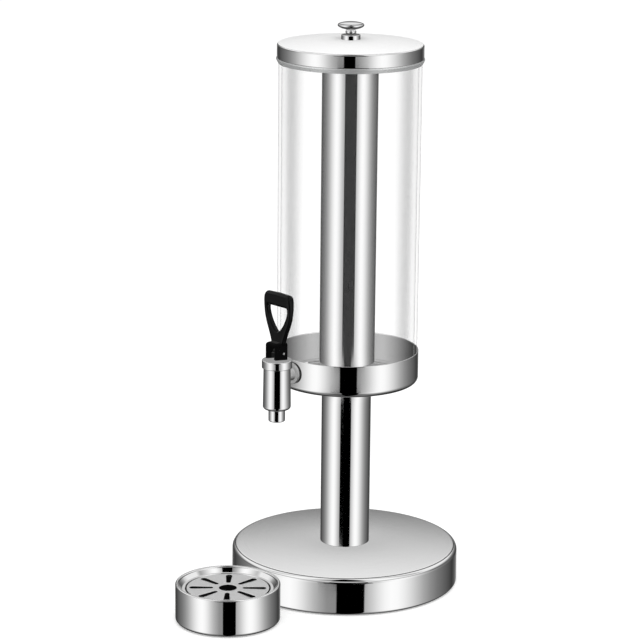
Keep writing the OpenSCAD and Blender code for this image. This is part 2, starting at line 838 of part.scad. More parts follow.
module tray_cup() {
    mid = [tray_r - rim_round, rim_mid];
    flat_w = (tray_r - tray_rim_w - tray_seat_r) * recess_flat_share;
    seat = [tray_seat_r, grate_top];
    slope_foot = [tray_seat_r + flat_w, grate_top];
    under = [tray_sheet, -tray_sheet];
    color("silver") at_tray() rotate_extrude() polygon(concat(
        [[0, tray_mat_h]],
        arc([tray_r - tray_round, tray_mat_h + tray_round], tray_round, -90, 0),
        arc(mid, rim_round, 0, 180),
        [slope_foot, seat, [tray_seat_r, ledge_z], [grate_r - ledge_w, ledge_z],
        [grate_r - ledge_w, ledge_z - tray_sheet], [tray_seat_r + tray_sheet, ledge_z - tray_sheet],
        seat + under, slope_foot + under, [tray_r - tray_rim_w, rim_mid] + under],
        arc(mid, rim_round - tray_sheet, 180, 0),
        arc([tray_r - tray_round, tray_mat_h + tray_round], tray_round - tray_sheet, 0, -90),
        [[0, tray_mat_h + tray_sheet]]));
}

module tray_mat() {
    color("black") at_tray() rod(tray_r - tray_round - tray_mat_in, 0, tray_mat_h);
}

// Cutter for one slot of the grate, with round ends
module grate_slot() {
    low = grate_low - overrun;
    high = grate_top + overrun;
    from = slot_from + slot_in_w / 2;
    to = grate_r - slot_rim - slot_out_w / 2;
    translate([from, 0, 0]) rod(slot_in_w / 2, low, high);
    translate([to, 0, 0]) rod(slot_out_w / 2, low, high);
    translate([0, 0, low]) linear_extrude(height = high - low)
        polygon([[from, -slot_in_w / 2], [to, -slot_out_w / 2], [to, slot_out_w / 2], [from, slot_in_w / 2]]);
}

module tray_grate() {
    color("gainsboro") at_tray() difference() {
        pipe(grate_r, grate_hole_r, grate_low, grate_top);
        for (i = [0 : slot_count - 1]) rotate(slot_turn + i * 360 / slot_count) grate_slot();
    }
}

base_shell();
base_weight();
base_plate();
base_mat();
plate_screws();
column_tube();
column_plug_low();
column_plug_top();
tie_rod();
rod_washer();
rod_nut();
pan();
vessel();
floor_gasket();
clamp_boss();
seat_oring();
rim_gasket();
tap_barrel();
spout();
tap_outer_washer();
tap_inner_washer();
tap_lock_nut();
bonnet_ring();
stem_guide();
guide_oring();
valve_spring();
valve_stem();
seat_cup();
handle_pin();
handle();
ice_tube();
ice_tube_cap();
lid_shell();
lid_knob();
knob_washer();
knob_screw();
tray_cup();
tray_mat();
tray_grate();
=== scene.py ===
import math

import bmesh
import bpy
import numpy as np
from bpy.props import FloatProperty, FloatVectorProperty, IntProperty, PointerProperty
from mathutils import Matrix, Vector


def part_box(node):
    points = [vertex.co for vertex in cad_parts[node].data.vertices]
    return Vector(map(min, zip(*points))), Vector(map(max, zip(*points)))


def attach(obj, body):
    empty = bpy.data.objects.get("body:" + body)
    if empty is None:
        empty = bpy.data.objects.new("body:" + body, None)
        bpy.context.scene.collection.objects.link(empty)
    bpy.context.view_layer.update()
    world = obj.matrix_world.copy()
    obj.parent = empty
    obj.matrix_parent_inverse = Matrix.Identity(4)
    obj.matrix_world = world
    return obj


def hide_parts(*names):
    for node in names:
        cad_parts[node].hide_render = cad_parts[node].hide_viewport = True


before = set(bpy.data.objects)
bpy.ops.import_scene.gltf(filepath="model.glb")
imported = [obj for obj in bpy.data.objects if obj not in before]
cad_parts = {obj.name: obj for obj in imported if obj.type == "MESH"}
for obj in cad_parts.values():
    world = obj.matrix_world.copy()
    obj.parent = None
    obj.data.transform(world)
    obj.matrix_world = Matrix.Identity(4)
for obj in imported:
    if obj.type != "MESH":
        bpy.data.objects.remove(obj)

bl_info = {
    "name": "Buffet Beverage Dispenser",
    "version": (1, 0, 0),
    "blender": (4, 5, 0),
    "location": "3D View > Sidebar > Dispenser",
    "description": "Dresses the packed solids of a buffet beverage dispenser with turned and moulded surfaces",
    "category": "Add Mesh",
}


def corners(solid):
    """Lowest and highest corner of a solid at rest, as two rows of x, y and z in metres."""
    return np.array([list(corner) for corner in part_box(solid)])


def low(solid):
    """Height of a solid's lowest point."""
    return float(corners(solid)[0, 2])


def high(solid):
    """Height of a solid's highest point."""
    return float(corners(solid)[1, 2])


def half_width(solid):
    """Half of a solid's width along X."""
    return float(corners(solid)[:, 0] @ [-0.5, 0.5])


def middle(solid):
    """Centre of a solid's box."""
    return corners(solid).mean(axis=0)


# Radius of a cut edge that is only just eased
EDGE = 0.0003


def rod_hole():
    """Radius of the holes that the tie rod passes through."""
    return half_width("tie_rod") + 0.0003


def metres(name, description, default):
    """A length that a user can change."""
    return FloatProperty(name=name, description=description, default=float(default), min=0.0, precision=5,
                         subtype="DISTANCE", unit="LENGTH")


def tint(name, description, *default):
    """A colour that a user can change."""
    return FloatVectorProperty(name=name, description=description, default=default, size=3, min=0.0, max=1.0,
                               subtype="COLOR")


def share(name, description, default):
    """A number between 0 and 1 that a user can change."""
    return FloatProperty(name=name, description=description, default=default, min=0.0, max=1.0, subtype="FACTOR")


class BaseSettings(bpy.types.PropertyGroup):
    """Sizes of the round base."""

    radius: metres("Radius", "Outer radius of the base at the table", half_width("base_shell"))
    top: metres("Top", "Height of the middle of the domed top", high("base_shell"))
    taper: metres("Taper", "How far the side stands inside the widest radius", 0.0004)
    lean: metres("Lean", "How far the side leans in between the table and the shoulder", 0.0002)
    rise: metres("Rise", "Height of the dome above the shoulder's corner", 0.00283)
    shoulder: metres("Shoulder", "Radius of the rounded edge between side and top", 0.005)
    edge: metres("Lower edge", "Radius of the rounded edge above the mat", 0.0025)
    hem: metres("Hem", "Width of the sheet that is folded in under the side", 0.006)
    sheet: metres("Sheet", "Thickness of the steel sheet", 0.0012)
    land: metres("Land", "Radius of the flat round the column's foot", 0.0324)


class ColumnSettings(bpy.types.PropertyGroup):
    """Sizes of the column and the pan on it."""

    radius: metres("Column radius", "Outer radius of the column", half_width("column_tube"))
    wall: metres("Column wall", "Thickness of the column's wall", 0.0015)
    pan_radius: metres("Pan radius", "Outer radius of the pan", half_width("pan"))
    pan_round: metres("Pan rounding", "Radius of the pan's lower edge", 0.005)
    pan_wall: metres("Pan wall", "Thickness of the pan's sheet", 0.001)
    pan_lip: metres("Pan lip", "Radius of the pan's eased upper edge", 0.00035)


class VesselSettings(bpy.types.PropertyGroup):
    """Sizes of the clear vessel, its rim seal and the ice tube."""

    radius: metres("Radius", "Outer radius of the clear vessel", half_width("vessel"))
    wall: metres("Wall", "Thickness of the vessel's wall and floor", 0.003)
    round: metres("Rounding", "Radius of the vessel's lower edge", 0.005)
    skin: metres("Seal skin", "Thickness of the seal over the vessel's rim", 0.0005)
    flange: metres("Seal flange", "Radius of the seal's flange under the lid", half_width("rim_gasket"))
    tube_radius: metres("Ice tube radius", "Outer radius of the ice tube", half_width("ice_tube"))
    tube_wall: metres("Ice tube wall", "Thickness of the ice tube's wall", 0.001)


class LidSettings(bpy.types.PropertyGroup):
    """Sizes of the lid and its knob."""

    radius: metres("Radius", "Outer radius of the lid", half_width("lid_shell"))
    draft: metres("Draft", "How much narrower the band is at its top", 0.00006)
    rise: metres("Rise", "Height of the lid's dome above its corner", 0.0044)
    round: metres("Rounding", "Radius of the edge between band and dome", 0.002)
    wall: metres("Wall", "Thickness of the lid's sheet", 0.0009)
    knob_radius: metres("Knob radius", "Radius of the knob's head", half_width("lid_knob"))
    foot_radius: metres("Foot radius", "Radius of the disc under the knob", 0.0095)
    neck_radius: metres("Neck radius", "Radius of the knob's neck", 0.0036)
    bead_radius: metres("Bead radius", "Radius of the ring between the disc and the head", 0.00535)


class TapSettings(bpy.types.PropertyGroup):
    """Sizes of the tap."""

    radius: metres("Radius", "Radius of the barrel at its top", 0.01335)
    flare: metres("Flare", "How much wider the barrel is at its foot", 0.0005)
    round: metres("Rounding", "Radius of the barrel's lower edge", 0.003)
    chamber: metres("Chamber", "Radius of the room inside the barrel", 0.011)
    shank: metres("Shank", "Radius of the threaded shank", 0.007)
    flange: metres("Flange", "Radius of the shank's flange", half_width("tap_outer_washer"))
    bore: metres("Bore", "Radius of the shank's bore", 0.0045)
    spout: metres("Spout", "Outer radius of the spout", 0.00825)
    spout_bore: metres("Spout bore", "Radius of the spout's bore", 0.006)
    ring: metres("Ring", "Radius of the ring nut on the barrel", half_width("bonnet_ring"))
    ring_edge: metres("Ring edge", "Radius of the ring nut's eased edges", 0.0006)


class HandleSettings(bpy.types.PropertyGroup):
    """Sizes of the tap's handle, measured from its pin."""

    half_width: metres("Half width", "Half width of the grip", half_width("handle"))
    block: metres("Block", "Half width of the block on the pin", 0.0078)
    front: metres("Front", "How far the block reaches before the pin", 0.0104)
    back: metres("Back", "How far the block reaches behind the pin", 0.0052)
    block_top: metres("Block top", "Height of the block's top above the pin", 0.0113)
    slot: metres("Slot", "Half width of the slot for the stem's tongue", 0.005)
    slot_back: metres("Slot back", "How far the slot reaches behind the pin", 0.004)
    slot_top: metres("Slot top", "Height of the slot's roof above the pin", 0.008)
    cam: metres("Cam", "Depth of the block's lower face below the pin", 0.00685)
    grip_low: metres("Grip foot", "Height above the pin where the grip starts", 0.008)
    grip_top: metres("Grip top", "Height of the grip's top above the pin", 0.0604)
    thick: metres("Thickness", "Thickness of the grip's sides", 0.006)
    bar: metres("Bar", "Thickness of the bar across the top", 0.008)
    window_low: metres("Window foot", "Height of the window's tip above the pin", 0.021)
    window_top: metres("Window top", "Height of the window's flat top above the pin", 0.0464)
    window: metres("Window", "Half width of the window", 0.014)
    pin: metres("Pin", "Radius of the pin", 0.0015)


class TraySettings(bpy.types.PropertyGroup):
    """Sizes of the drip tray and its grate."""

    radius: metres("Radius", "Outer radius of the tray", half_width("tray_cup"))
    round: metres("Rounding", "Radius of the tray's lower edge", 0.003)
    sheet: metres("Sheet", "Thickness of the steel sheet", 0.001)
    rim: metres("Rim", "Width of the rolled rim", 0.0035)
    seat: metres("Seat", "Radius of the recess that holds the grate", 0.042)
    flat: metres("Flat", "Width of the level ring round the recess", 0.0026)
    ledge: metres("Ledge", "Inner radius of the ledge under the grate", 0.0369)
    grate: metres("Grate", "Radius of the grate", half_width("tray_grate"))
    hole: metres("Hole", "Radius of the hole in the middle of the grate", 0.0087)
    slots: IntProperty(name="Slots", description="Number of slots in the grate", default=8, min=3)
    slot_from: metres("Slots from", "Distance from the middle where a slot starts", 0.0144)
    slot_to: metres("Slots to", "Distance from the middle where a slot ends", 0.0376)
    slot_in: metres("Inner width", "Width of a slot at its inner end", 0.0042)
    slot_out: metres("Outer width", "Width of a slot at its outer end", 0.0062)
    turn: FloatProperty(name="Turn", description="Turn of the slots about the tray's axis",
                        default=math.radians(2), subtype="ANGLE", unit="ROTATION")


class FinishSettings(bpy.types.PropertyGroup):
    """Colours and gloss of the finishes."""

    steel: tint("Steel", "Colour of the polished steel", 0.98, 0.98, 0.98)
    satin: tint("Satin steel", "Colour of the satin steel", 0.82, 0.82, 0.82)
    # Pan: the brushed rings inside are real; the inside's darker colour is painted shade
    pan: tint("Pan", "Darker colour of the pan's brushed inside, painted shade", 0.52, 0.52, 0.52)
    chrome: tint("Chrome", "Colour of the chromed tap", 0.94, 0.94, 0.945)
    iron: tint("Weight", "Colour of the painted iron weight", 0.05, 0.05, 0.055)
    black: tint("Black plastic", "Colour of the handle", 0.0015, 0.0015, 0.0017)
    shank: tint("Shank", "Colour of the tap's dull shank", 0.75, 0.75, 0.75)
    grate: tint("Grate", "Colour of the satin grate", 0.95, 0.95, 0.95)
    # Painted shade: near black for the tray's hollow under the grate and for the grate's cut walls
    hollow_shade: tint("Hollow shade", "Near-black painted shade in the tray's hollow and on the grate's cut walls", 0.006, 0.006, 0.006)
    white: tint("White plastic", "Colour of the inner plastic pieces", 0.82, 0.82, 0.8)
    rubber: tint("Rubber", "Colour of the mats and washers", 0.02, 0.02, 0.02)
    silicone: tint("Silicone", "Colour of the rim seal", 0.86, 0.87, 0.87)
    polish: share("Polish", "Roughness of the polished steel", 0.03)
    brushing: share("Brushing", "Roughness of the satin steel", 0.3)


class StageSettings(bpy.types.PropertyGroup):
    """The floor, the light and the camera."""

    floor: metres("Floor", "Radius of the round floor", 6.0)
    floor_tint: tint("Floor colour", "Colour of the floor", 0.9, 0.9, 0.9)
    lamp_size: metres("Lamp size", "Width of the round soft lamp", 2.4)
    lamp_power: FloatProperty(name="Lamp power", description="Power of the soft lamp", default=20.0, min=0.0,
                              subtype="POWER", unit="POWER")
    lamp_place: FloatVectorProperty(name="Lamp place", description="Middle of the soft lamp",
                                    default=(0.9, -0.6, 2.2), size=3, subtype="TRANSLATION", unit="LENGTH")
    distance: metres("Camera distance", "Distance from the camera to the point that it looks at", 2.71662)
    aim: metres("Aim height", "Height of the point that the camera looks at", 0.27151)
    aside: metres("Aim aside", "How far that point lies left of the vessel's axis in the picture", 0.02733)
    azimuth: FloatProperty(name="Azimuth", description="Turn of the camera from the front towards the right",
                           default=math.radians(47), subtype="ANGLE", unit="ROTATION")
    pitch: FloatProperty(name="Pitch", description="How far the camera looks down",
                         default=math.radians(14.21), subtype="ANGLE", unit="ROTATION")
    roll: FloatProperty(name="Roll", description="Turn of the camera about its own axis",
                        default=math.radians(0.57), subtype="ANGLE", unit="ROTATION")
    lens: FloatProperty(name="Lens", description="Focal length of the camera in millimetres",
                        default=152.78, min=1.0, subtype="DISTANCE_CAMERA")


class DispenserSettings(bpy.types.PropertyGroup):
    """All settings of the dispenser."""

    base: PointerProperty(type=BaseSettings, name="Base", description="Sizes of the base")
    column: PointerProperty(type=ColumnSettings, name="Column", description="Sizes of the column and the pan")
    vessel: PointerProperty(type=VesselSettings, name="Vessel", description="Sizes of the vessel")
    lid: PointerProperty(type=LidSettings, name="Lid", description="Sizes of the lid and the knob")
    tap: PointerProperty(type=TapSettings, name="Tap", description="Sizes of the tap")
    handle: PointerProperty(type=HandleSettings, name="Handle", description="Sizes of the handle")
    tray: PointerProperty(type=TraySettings, name="Tray", description="Sizes of the drip tray")
    finish: PointerProperty(type=FinishSettings, name="Finish", description="Colours and gloss")
    stage: PointerProperty(type=StageSettings, name="Stage", description="Floor, light and camera")


# Outlines: rows of radius and height, counterclockwise, so that the outer side runs up


def arc(centre, radius, start, end, count=8):
    """Points centre + radius (cos a, sin a) while a goes from start to end, in degrees."""
    a = np.radians(np.linspace(start, end, count))
    return np.array(centre) + radius * np.stack([np.cos(a), np.sin(a)], axis=1)


def bezier(points, count=12):
    """Cubic curve: the four control points weighed by (1-t)^3, 3 t (1-t)^2, 3 t^2 (1-t) and t^3."""
    t = np.linspace(0, 1, count)[:, None]
    p = np.array(points, float)
    return (1 - t) ** 3 * p[0] + 3 * t * (1 - t) ** 2 * p[1] + 3 * t**2 * (1 - t) * p[2] + t**3 * p[3]


def fillet(before, corner, after, radius, count=8):
    """An arc that touches both sides of a corner.

    Its centre lies on the bisector, radius / sin(half the angle) from the corner, and it touches each side
    radius / tan(half the angle) from the corner.
    """
    before, corner, after = (np.array(p, float) for p in (before, corner, after))
    back = (before - corner) / np.linalg.norm(before - corner)
    on = (after - corner) / np.linalg.norm(after - corner)
    half = 0.5 * math.acos(float(np.clip(back @ on, -1, 1)))
    centre = corner + (back + on) / np.linalg.norm(back + on) * radius / math.sin(half)
    first = corner + back * radius / math.tan(half) - centre
    last = corner + on * radius / math.tan(half) - centre
    start = math.degrees(math.atan2(first[1], first[0]))
    turn = (math.degrees(math.atan2(last[1], last[0])) - start + 180) % 360 - 180
    return arc(centre, radius, start, start + turn, count)


def outline(*rows):
    """A closed outline from points (r, z), corners (r, z, radius) that are rounded, and whole runs of points."""
    rows = [np.atleast_2d(np.array(row, float)) for row in rows]
    runs = []
    for i, row in enumerate(rows):
        if row.shape[1] == 3:
            row = fillet(rows[i - 1][-1, :2], row[0, :2], rows[(i + 1) % len(rows)][0, :2], row[0, 2])
        runs.append(row)
    return np.vstack(runs)


def eased(points, closed=True, reach=0.0004):
    """Adds a point close to both ends of each long side, so that its smooth shading stays even."""
    start = points if closed else points[:-1]
    end = np.roll(points, -1, axis=0) if closed else points[1:]
    length = np.linalg.norm(end - start, axis=1)
    step = (end - start) * (reach / np.maximum(length, 1e-9))[:, None]
    rows = np.stack([start, start + step, end - step], axis=1).reshape(-1, 2)
    long = length > 5 * reach
    keep = np.stack([np.ones_like(long), long, long], axis=1).reshape(-1)
    return rows[keep] if closed else np.vstack([rows[keep], points[-1:]])


# Surfaces: a shell is an array of points and a list of faces


def skin(grid, wrap_rows=False, wrap_columns=False, poles=()):
    """Faces over a grid of points; a wrapped side joins its first line again, and a pole row is one point."""
    rows, columns = grid.shape[:2]
    index = np.arange(rows * columns).reshape(rows, columns)
    for row in poles:
        index[row] = index[row, 0]
    if wrap_rows:
        index = np.vstack([index, index[:1]])
    if wrap_columns:
        index = np.hstack([index, index[:, :1]])
    faces = np.stack([index[:-1, :-1], index[:-1, 1:], index[1:, 1:], index[1:, :-1]], axis=-1).reshape(-1, 4)
    used, flat = np.unique(faces, return_inverse=True)
    faces = flat.reshape(-1, 4)
    foot = faces[:, 0] == faces[:, 1]
    peak = faces[:, 2] == faces[:, 3]
    quads = faces[~foot & ~peak].tolist() + faces[foot & ~peak][:, [0, 2, 3]].tolist()
    return grid.reshape(-1, 3)[used], quads + faces[peak & ~foot][:, :3].tolist()


def turned(points, centre=(0.0, 0.0), turns=160, closed=True):
    """Surface of revolution: a point (r, z) at angle a lies at (cx + r cos a, cy + r sin a, z)."""
    a = np.linspace(0, 2 * math.pi, turns, endpoint=False)[None, :]
    r, z = points[:, :1], points[:, 1:]
    grid = np.stack([centre[0] + r * np.cos(a), centre[1] + r * np.sin(a), z + 0 * a], axis=-1)
    poles = [i for i in (0, len(points) - 1) if not closed and points[i, 0] < 1e-9]
    return skin(grid, wrap_rows=closed, wrap_columns=True, poles=poles)


def turned_on_y(points, x, z, turns=96, closed=True):
    """The same about a line along Y: a point (r, y) at angle a lies at (x + r cos a, y, z - r sin a)."""
    spots, faces = turned(points, turns=turns, closed=closed)
    return np.stack([x + spots[:, 0], spots[:, 2], z - spots[:, 1]], axis=1), faces


def turned_on_x(points, y, z, turns=48, closed=True):
    """The same about a line along X: a point (r, x) at angle a lies at (x, y + r cos a, z + r sin a)."""
    spots, faces = turned(points, turns=turns, closed=closed)
    return np.stack([spots[:, 2], y + spots[:, 0], z + spots[:, 1]], axis=1), faces


def lofted(loop, levels, insets=None):
    """A closed loop of (x, y) points lifted to each level, where an inset draws it towards its middle.

    A point moves from its place towards the loop's centre line by the inset along X and along Y.
    """
    levels = np.atleast_1d(levels)
    insets = np.zeros(len(levels)) if insets is None else np.array(insets)
    centre = (loop.min(axis=0) + loop.max(axis=0)) / 2
    half = (loop.max(axis=0) - loop.min(axis=0)) / 2
    scale = 1 - insets[:, None, None] / half
    flat = centre + (loop - centre)[None] * scale
    heights = np.broadcast_to(levels.reshape(len(levels), -1, 1), flat.shape[:2] + (1,))
    return np.concatenate([flat, heights], axis=-1)


def capped(grid):
    """A lofted grid's skin with flat faces across its first and last row."""
    spots, faces = skin(grid, wrap_columns=True)
    count = grid.shape[1]
    start = list(range(count))[::-1]
    end = list(range(len(spots) - count, len(spots)))
    return spots, faces + [start, end]


def joined(shells):
    """Several shells as one, with each shell's faces counted on from the points before it."""
    starts = np.cumsum([0] + [len(points) for points, _ in shells[:-1]]).tolist()
    faces = [[i + start for i in row] for start, (_, rows) in zip(starts, shells) for row in rows]
    return np.vstack([points for points, _ in shells]), faces


# Pieces


def piece(name, shells, finish, body, solid, sharp=28):
    """Puts shells into one mesh with smooth faces and hard edges, and ties the piece to its body, solid and slot."""
    spots, faces = joined(shells)
    mesh = bpy.data.meshes.new(name)
    mesh.from_pydata(spots.tolist(), [], faces)
    mesh.validate()
    mesh.polygons.foreach_set("use_smooth", np.ones(len(mesh.polygons), bool))
    mesh.set_sharp_from_angle(angle=math.radians(sharp))
    mesh.materials.append(finish)
    mesh.update()
    thing = bpy.data.objects.new(name, mesh)
    bpy.context.collection.objects.link(thing)
    thing.visible_glossy = False
    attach(thing, body)
    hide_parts(solid)
    return thing


def face_rows(thing, value):
    """The center or the normal of each face of a piece, as rows of x, y and z."""
    rows = np.empty(len(thing.data.polygons) * 3, np.float32)
    thing.data.polygons.foreach_get(value, rows)
    return rows.reshape(-1, 3)


def second_finish(thing, finish, chosen):
    """Gives the chosen faces of a piece another finish."""
    thing.data.materials.append(finish)
    thing.data.polygons.foreach_set("material_index", chosen.astype(np.int32))


def top_finish(thing, finish):
    """Gives the faces that look up another finish."""
    second_finish(thing, finish, face_rows(thing, "normal")[:, 2] > 0.9)


# Materials


def node(tree, kind, inputs=None, **settings):
    """A node with its settings, and its inputs either given a value or linked to an output."""
    made = tree.nodes.new(kind)
    for key, value in settings.items():
        setattr(made, key, value)
    for key, value in (inputs or {}).items():
        if isinstance(value, bpy.types.NodeSocket):
            tree.links.new(value, made.inputs[key])
        else:
            made.inputs[key].default_value = value
    return made


def group(name, inputs, outputs):
    """An empty shader node group with named sockets, and its input and output nodes."""
    tree = bpy.data.node_groups.new(name, "ShaderNodeTree")
    for label, kind, default in inputs:
        socket = tree.interface.new_socket(label, in_out="INPUT", socket_type=kind)
        if default is not None:
            socket.default_value = default
    for label, kind in outputs:
        tree.interface.new_socket(label, in_out="OUTPUT", socket_type=kind)
    return tree, tree.nodes.new("NodeGroupInput"), tree.nodes.new("NodeGroupOutput")


def ramp(tree, value, stops):
    """A colour ramp, given as pairs of a place and a grey level or a tuple of three channels."""
    made = node(tree, "ShaderNodeValToRGB", {"Fac": value})
    elements = made.color_ramp.elements
    elements.remove(elements[1])
    for i, (place, level) in enumerate(stops):
        stop = elements[0] if i == 0 else elements.new(place)
        stop.position = place
        stop.color = (*level, 1) if isinstance(level, tuple) else (level, level, level, 1)
    return made.outputs["Color"]


def figure(tree, operation, *values):
    """What a Math node makes of its values."""
    return node(tree, "ShaderNodeMath", dict(enumerate(values)), operation=operation).outputs["Value"]


def vector(tree, operation, *values):
    """The vector that a Vector Math node makes of its values."""
    return node(tree, "ShaderNodeVectorMath", dict(enumerate(values)), operation=operation).outputs["Vector"]


def scaled(tree, colour, level):
    """A colour times a level."""
    return node(tree, "ShaderNodeVectorMath", {0: colour, "Scale": level}, operation="SCALE").outputs["Vector"]


def ranged(tree, value, start, end, least=0.0, most=1.0):
    """Turns the range from start to end into the range from least to most, and stops at both."""
    return node(tree, "ShaderNodeMapRange", {"Value": value, "From Min": start, "From Max": end, "To Min": least,
                                             "To Max": most}).outputs["Result"]


def mixed(tree, amount, first, second):
    """The first colour turned into the second by an amount; a plain number is a grey."""
    first, second = (c if isinstance(c, bpy.types.NodeSocket) else (c, c, c, 1) for c in (first, second))
    return node(tree, "ShaderNodeMix", {"Factor": amount, "A": first, "B": second},
                data_type="RGBA").outputs["Result"]


def noise(tree, where, scale, detail, roughness=0.5):
    """Soft noise over a place, from 0 to 1."""
    return node(tree, "ShaderNodeTexNoise", {"Vector": where, "Scale": scale, "Detail": detail,
                                             "Roughness": roughness}).outputs["Fac"]


def give(tree, out, height, strength, distance, **values):
    """Links a group's outputs to values, and its Normal to a bump of a height."""
    values["Normal"] = node(tree, "ShaderNodeBump", {"Height": height, "Strength": strength,
                                                     "Distance": distance}).outputs["Normal"]
    for label, value in values.items():
        tree.links.new(value, out.inputs[label])


FLOAT, COLOUR, VECTOR = "NodeSocketFloat", "NodeSocketColor", "NodeSocketVector"


def handling_marks():
    """Node group: faint smudges and hairlines that change the roughness and tilt the normal a little."""
    name = "Handling marks"
    if name in bpy.data.node_groups:
        return bpy.data.node_groups[name]
    tree, given, out = group(name, [("Roughness", FLOAT, 0.05), ("Smudges", FLOAT, 0.03), ("Hairlines", FLOAT, 0.02)],
                             [("Roughness", FLOAT), ("Normal", VECTOR)])
    where = node(tree, "ShaderNodeTexCoord").outputs["Object"]
    smudge = ranged(tree, noise(tree, where, 22.0, 5.0, 0.6), 0.45, 0.75)
    long = node(tree, "ShaderNodeMapping", {"Vector": where, "Scale": (60.0, 60.0, 2500.0)}).outputs["Vector"]
    give(tree, out, noise(tree, long, 1.0, 2.0), given.outputs["Hairlines"], 0.00005,
         Roughness=figure(tree, "MULTIPLY_ADD", smudge, given.outputs["Smudges"], given.outputs["Roughness"]))
    return tree


def turning_lines():
    """Node group: fine rings left by turning or brushing about an upright axis.

    The lines are noise over the distance from the axis and the height, and hardly change with the angle.
    """
    name = "Turning lines"
    if name in bpy.data.node_groups:
        return bpy.data.node_groups[name]
    tree, given, out = group(name, [("Axis", VECTOR, None), ("Fineness", FLOAT, 4000.0), ("Depth", FLOAT, 0.2),
                                    ("Roughness", FLOAT, 0.3), ("Colour", COLOUR, (0.8, 0.8, 0.8, 1))],
                             [("Colour", COLOUR), ("Roughness", FLOAT), ("Normal", VECTOR)])
    where = node(tree, "ShaderNodeTexCoord").outputs["Object"]
    about = vector(tree, "SUBTRACT", where, given.outputs["Axis"])
    x, y, z = node(tree, "ShaderNodeSeparateXYZ", {"Vector": about}).outputs
    flat = node(tree, "ShaderNodeCombineXYZ", {"X": x, "Y": y}).outputs["Vector"]
    far = node(tree, "ShaderNodeVectorMath", {0: flat}, operation="LENGTH").outputs["Value"]
    slow = figure(tree, "MULTIPLY", figure(tree, "ARCTAN2", y, x), 0.0006)
    spot = node(tree, "ShaderNodeCombineXYZ", {"X": far, "Y": slow, "Z": z}).outputs["Vector"]
    lines = noise(tree, spot, given.outputs["Fineness"], 3.0, 0.7)
    give(tree, out, lines, given.outputs["Depth"], 0.0001,
         Colour=scaled(tree, given.outputs["Colour"], ranged(tree, lines, 0.3, 0.7, 0.93, 1.03)),
         Roughness=figure(tree, "MULTIPLY_ADD", lines, 0.12, given.outputs["Roughness"]))
    return tree


def moulded_grain():
    """Node group: the fine grain of a moulded or rubbed surface, as a mottled colour, roughness and normal."""
    name = "Moulded grain"
    if name in bpy.data.node_groups:
        return bpy.data.node_groups[name]
    tree, given, out = group(name, [("Colour", COLOUR, (0.5, 0.5, 0.5, 1)), ("Fineness", FLOAT, 900.0),
                                    ("Depth", FLOAT, 0.1), ("Roughness", FLOAT, 0.4), ("Mottle", FLOAT, 0.1)],
                             [("Colour", COLOUR), ("Roughness", FLOAT), ("Normal", VECTOR)])
    where = node(tree, "ShaderNodeTexCoord").outputs["Object"]
    grain = noise(tree, where, given.outputs["Fineness"], 4.0)
    cloud = figure(tree, "SUBTRACT", noise(tree, where, 45.0, 3.0), 0.5)
    mottle = figure(tree, "MULTIPLY_ADD", cloud, given.outputs["Mottle"], 1.0)
    give(tree, out, grain, given.outputs["Depth"], 0.0002, Colour=scaled(tree, given.outputs["Colour"], mottle),
         Roughness=figure(tree, "MULTIPLY_ADD", cloud, 0.15, given.outputs["Roughness"]))
    return tree


def fresh_material(name):
    """A material with nothing in it but a Principled shader, and that shader."""
    made = bpy.data.materials.new(name)
    made.use_nodes = True
    made.node_tree.nodes.clear()
    shader = made.node_tree.nodes.new("ShaderNodeBsdfPrincipled")
    out = made.node_tree.nodes.new("ShaderNodeOutputMaterial")
    made.node_tree.links.new(shader.outputs["BSDF"], out.inputs["Surface"])
    return made, shader


def use(made, shader, tree, values):
    """Places a shared effect in a material, and links what it puts out to the shader."""
    effect = made.node_tree.nodes.new("ShaderNodeGroup")
    effect.node_tree = tree
    for key, value in values.items():
        effect.inputs[key].default_value = value
    for label, socket in (("Colour", "Base Color"), ("Roughness", "Roughness"), ("Normal", "Normal")):
        if label in effect.outputs:
            made.node_tree.links.new(effect.outputs[label], shader.inputs[socket])


def polished(name, colour, roughness, smudges=0.03, hairlines=0.02):
    """Mirror-bright metal with faint smudges and hairlines."""
    if name in bpy.data.materials:
        return bpy.data.materials[name]
    made, shader = fresh_material(name)
    shader.inputs["Base Color"].default_value = (*colour, 1)
    shader.inputs["Metallic"].default_value = 1.0
    use(made, shader, handling_marks(), {"Roughness": roughness, "Smudges": smudges, "Hairlines": hairlines})
    return made


def brushed(name, colour, roughness, axis=(0.0, 0.0, 0.0), fineness=4000.0, depth=0.2, metallic=1.0):
    """Metal with fine rings about an upright axis."""
    if name in bpy.data.materials:
        return bpy.data.materials[name]
    made, shader = fresh_material(name)
    shader.inputs["Metallic"].default_value = metallic
    use(made, shader, turning_lines(), {"Axis": axis, "Fineness": fineness, "Depth": depth,
                                        "Roughness": roughness, "Colour": (*colour, 1)})
    return made


def moulded(name, colour, roughness, fineness=900.0, depth=0.1, mottle=0.1, gloss=0.5):
    """Plastic, rubber or paint with a fine grain."""
    if name in bpy.data.materials:
        return bpy.data.materials[name]
    made, shader = fresh_material(name)
    shader.inputs["Specular IOR Level"].default_value = gloss
    use(made, shader, moulded_grain(), {"Colour": (*colour, 1), "Fineness": fineness, "Depth": depth,
                                        "Roughness": roughness, "Mottle": mottle})
    return made


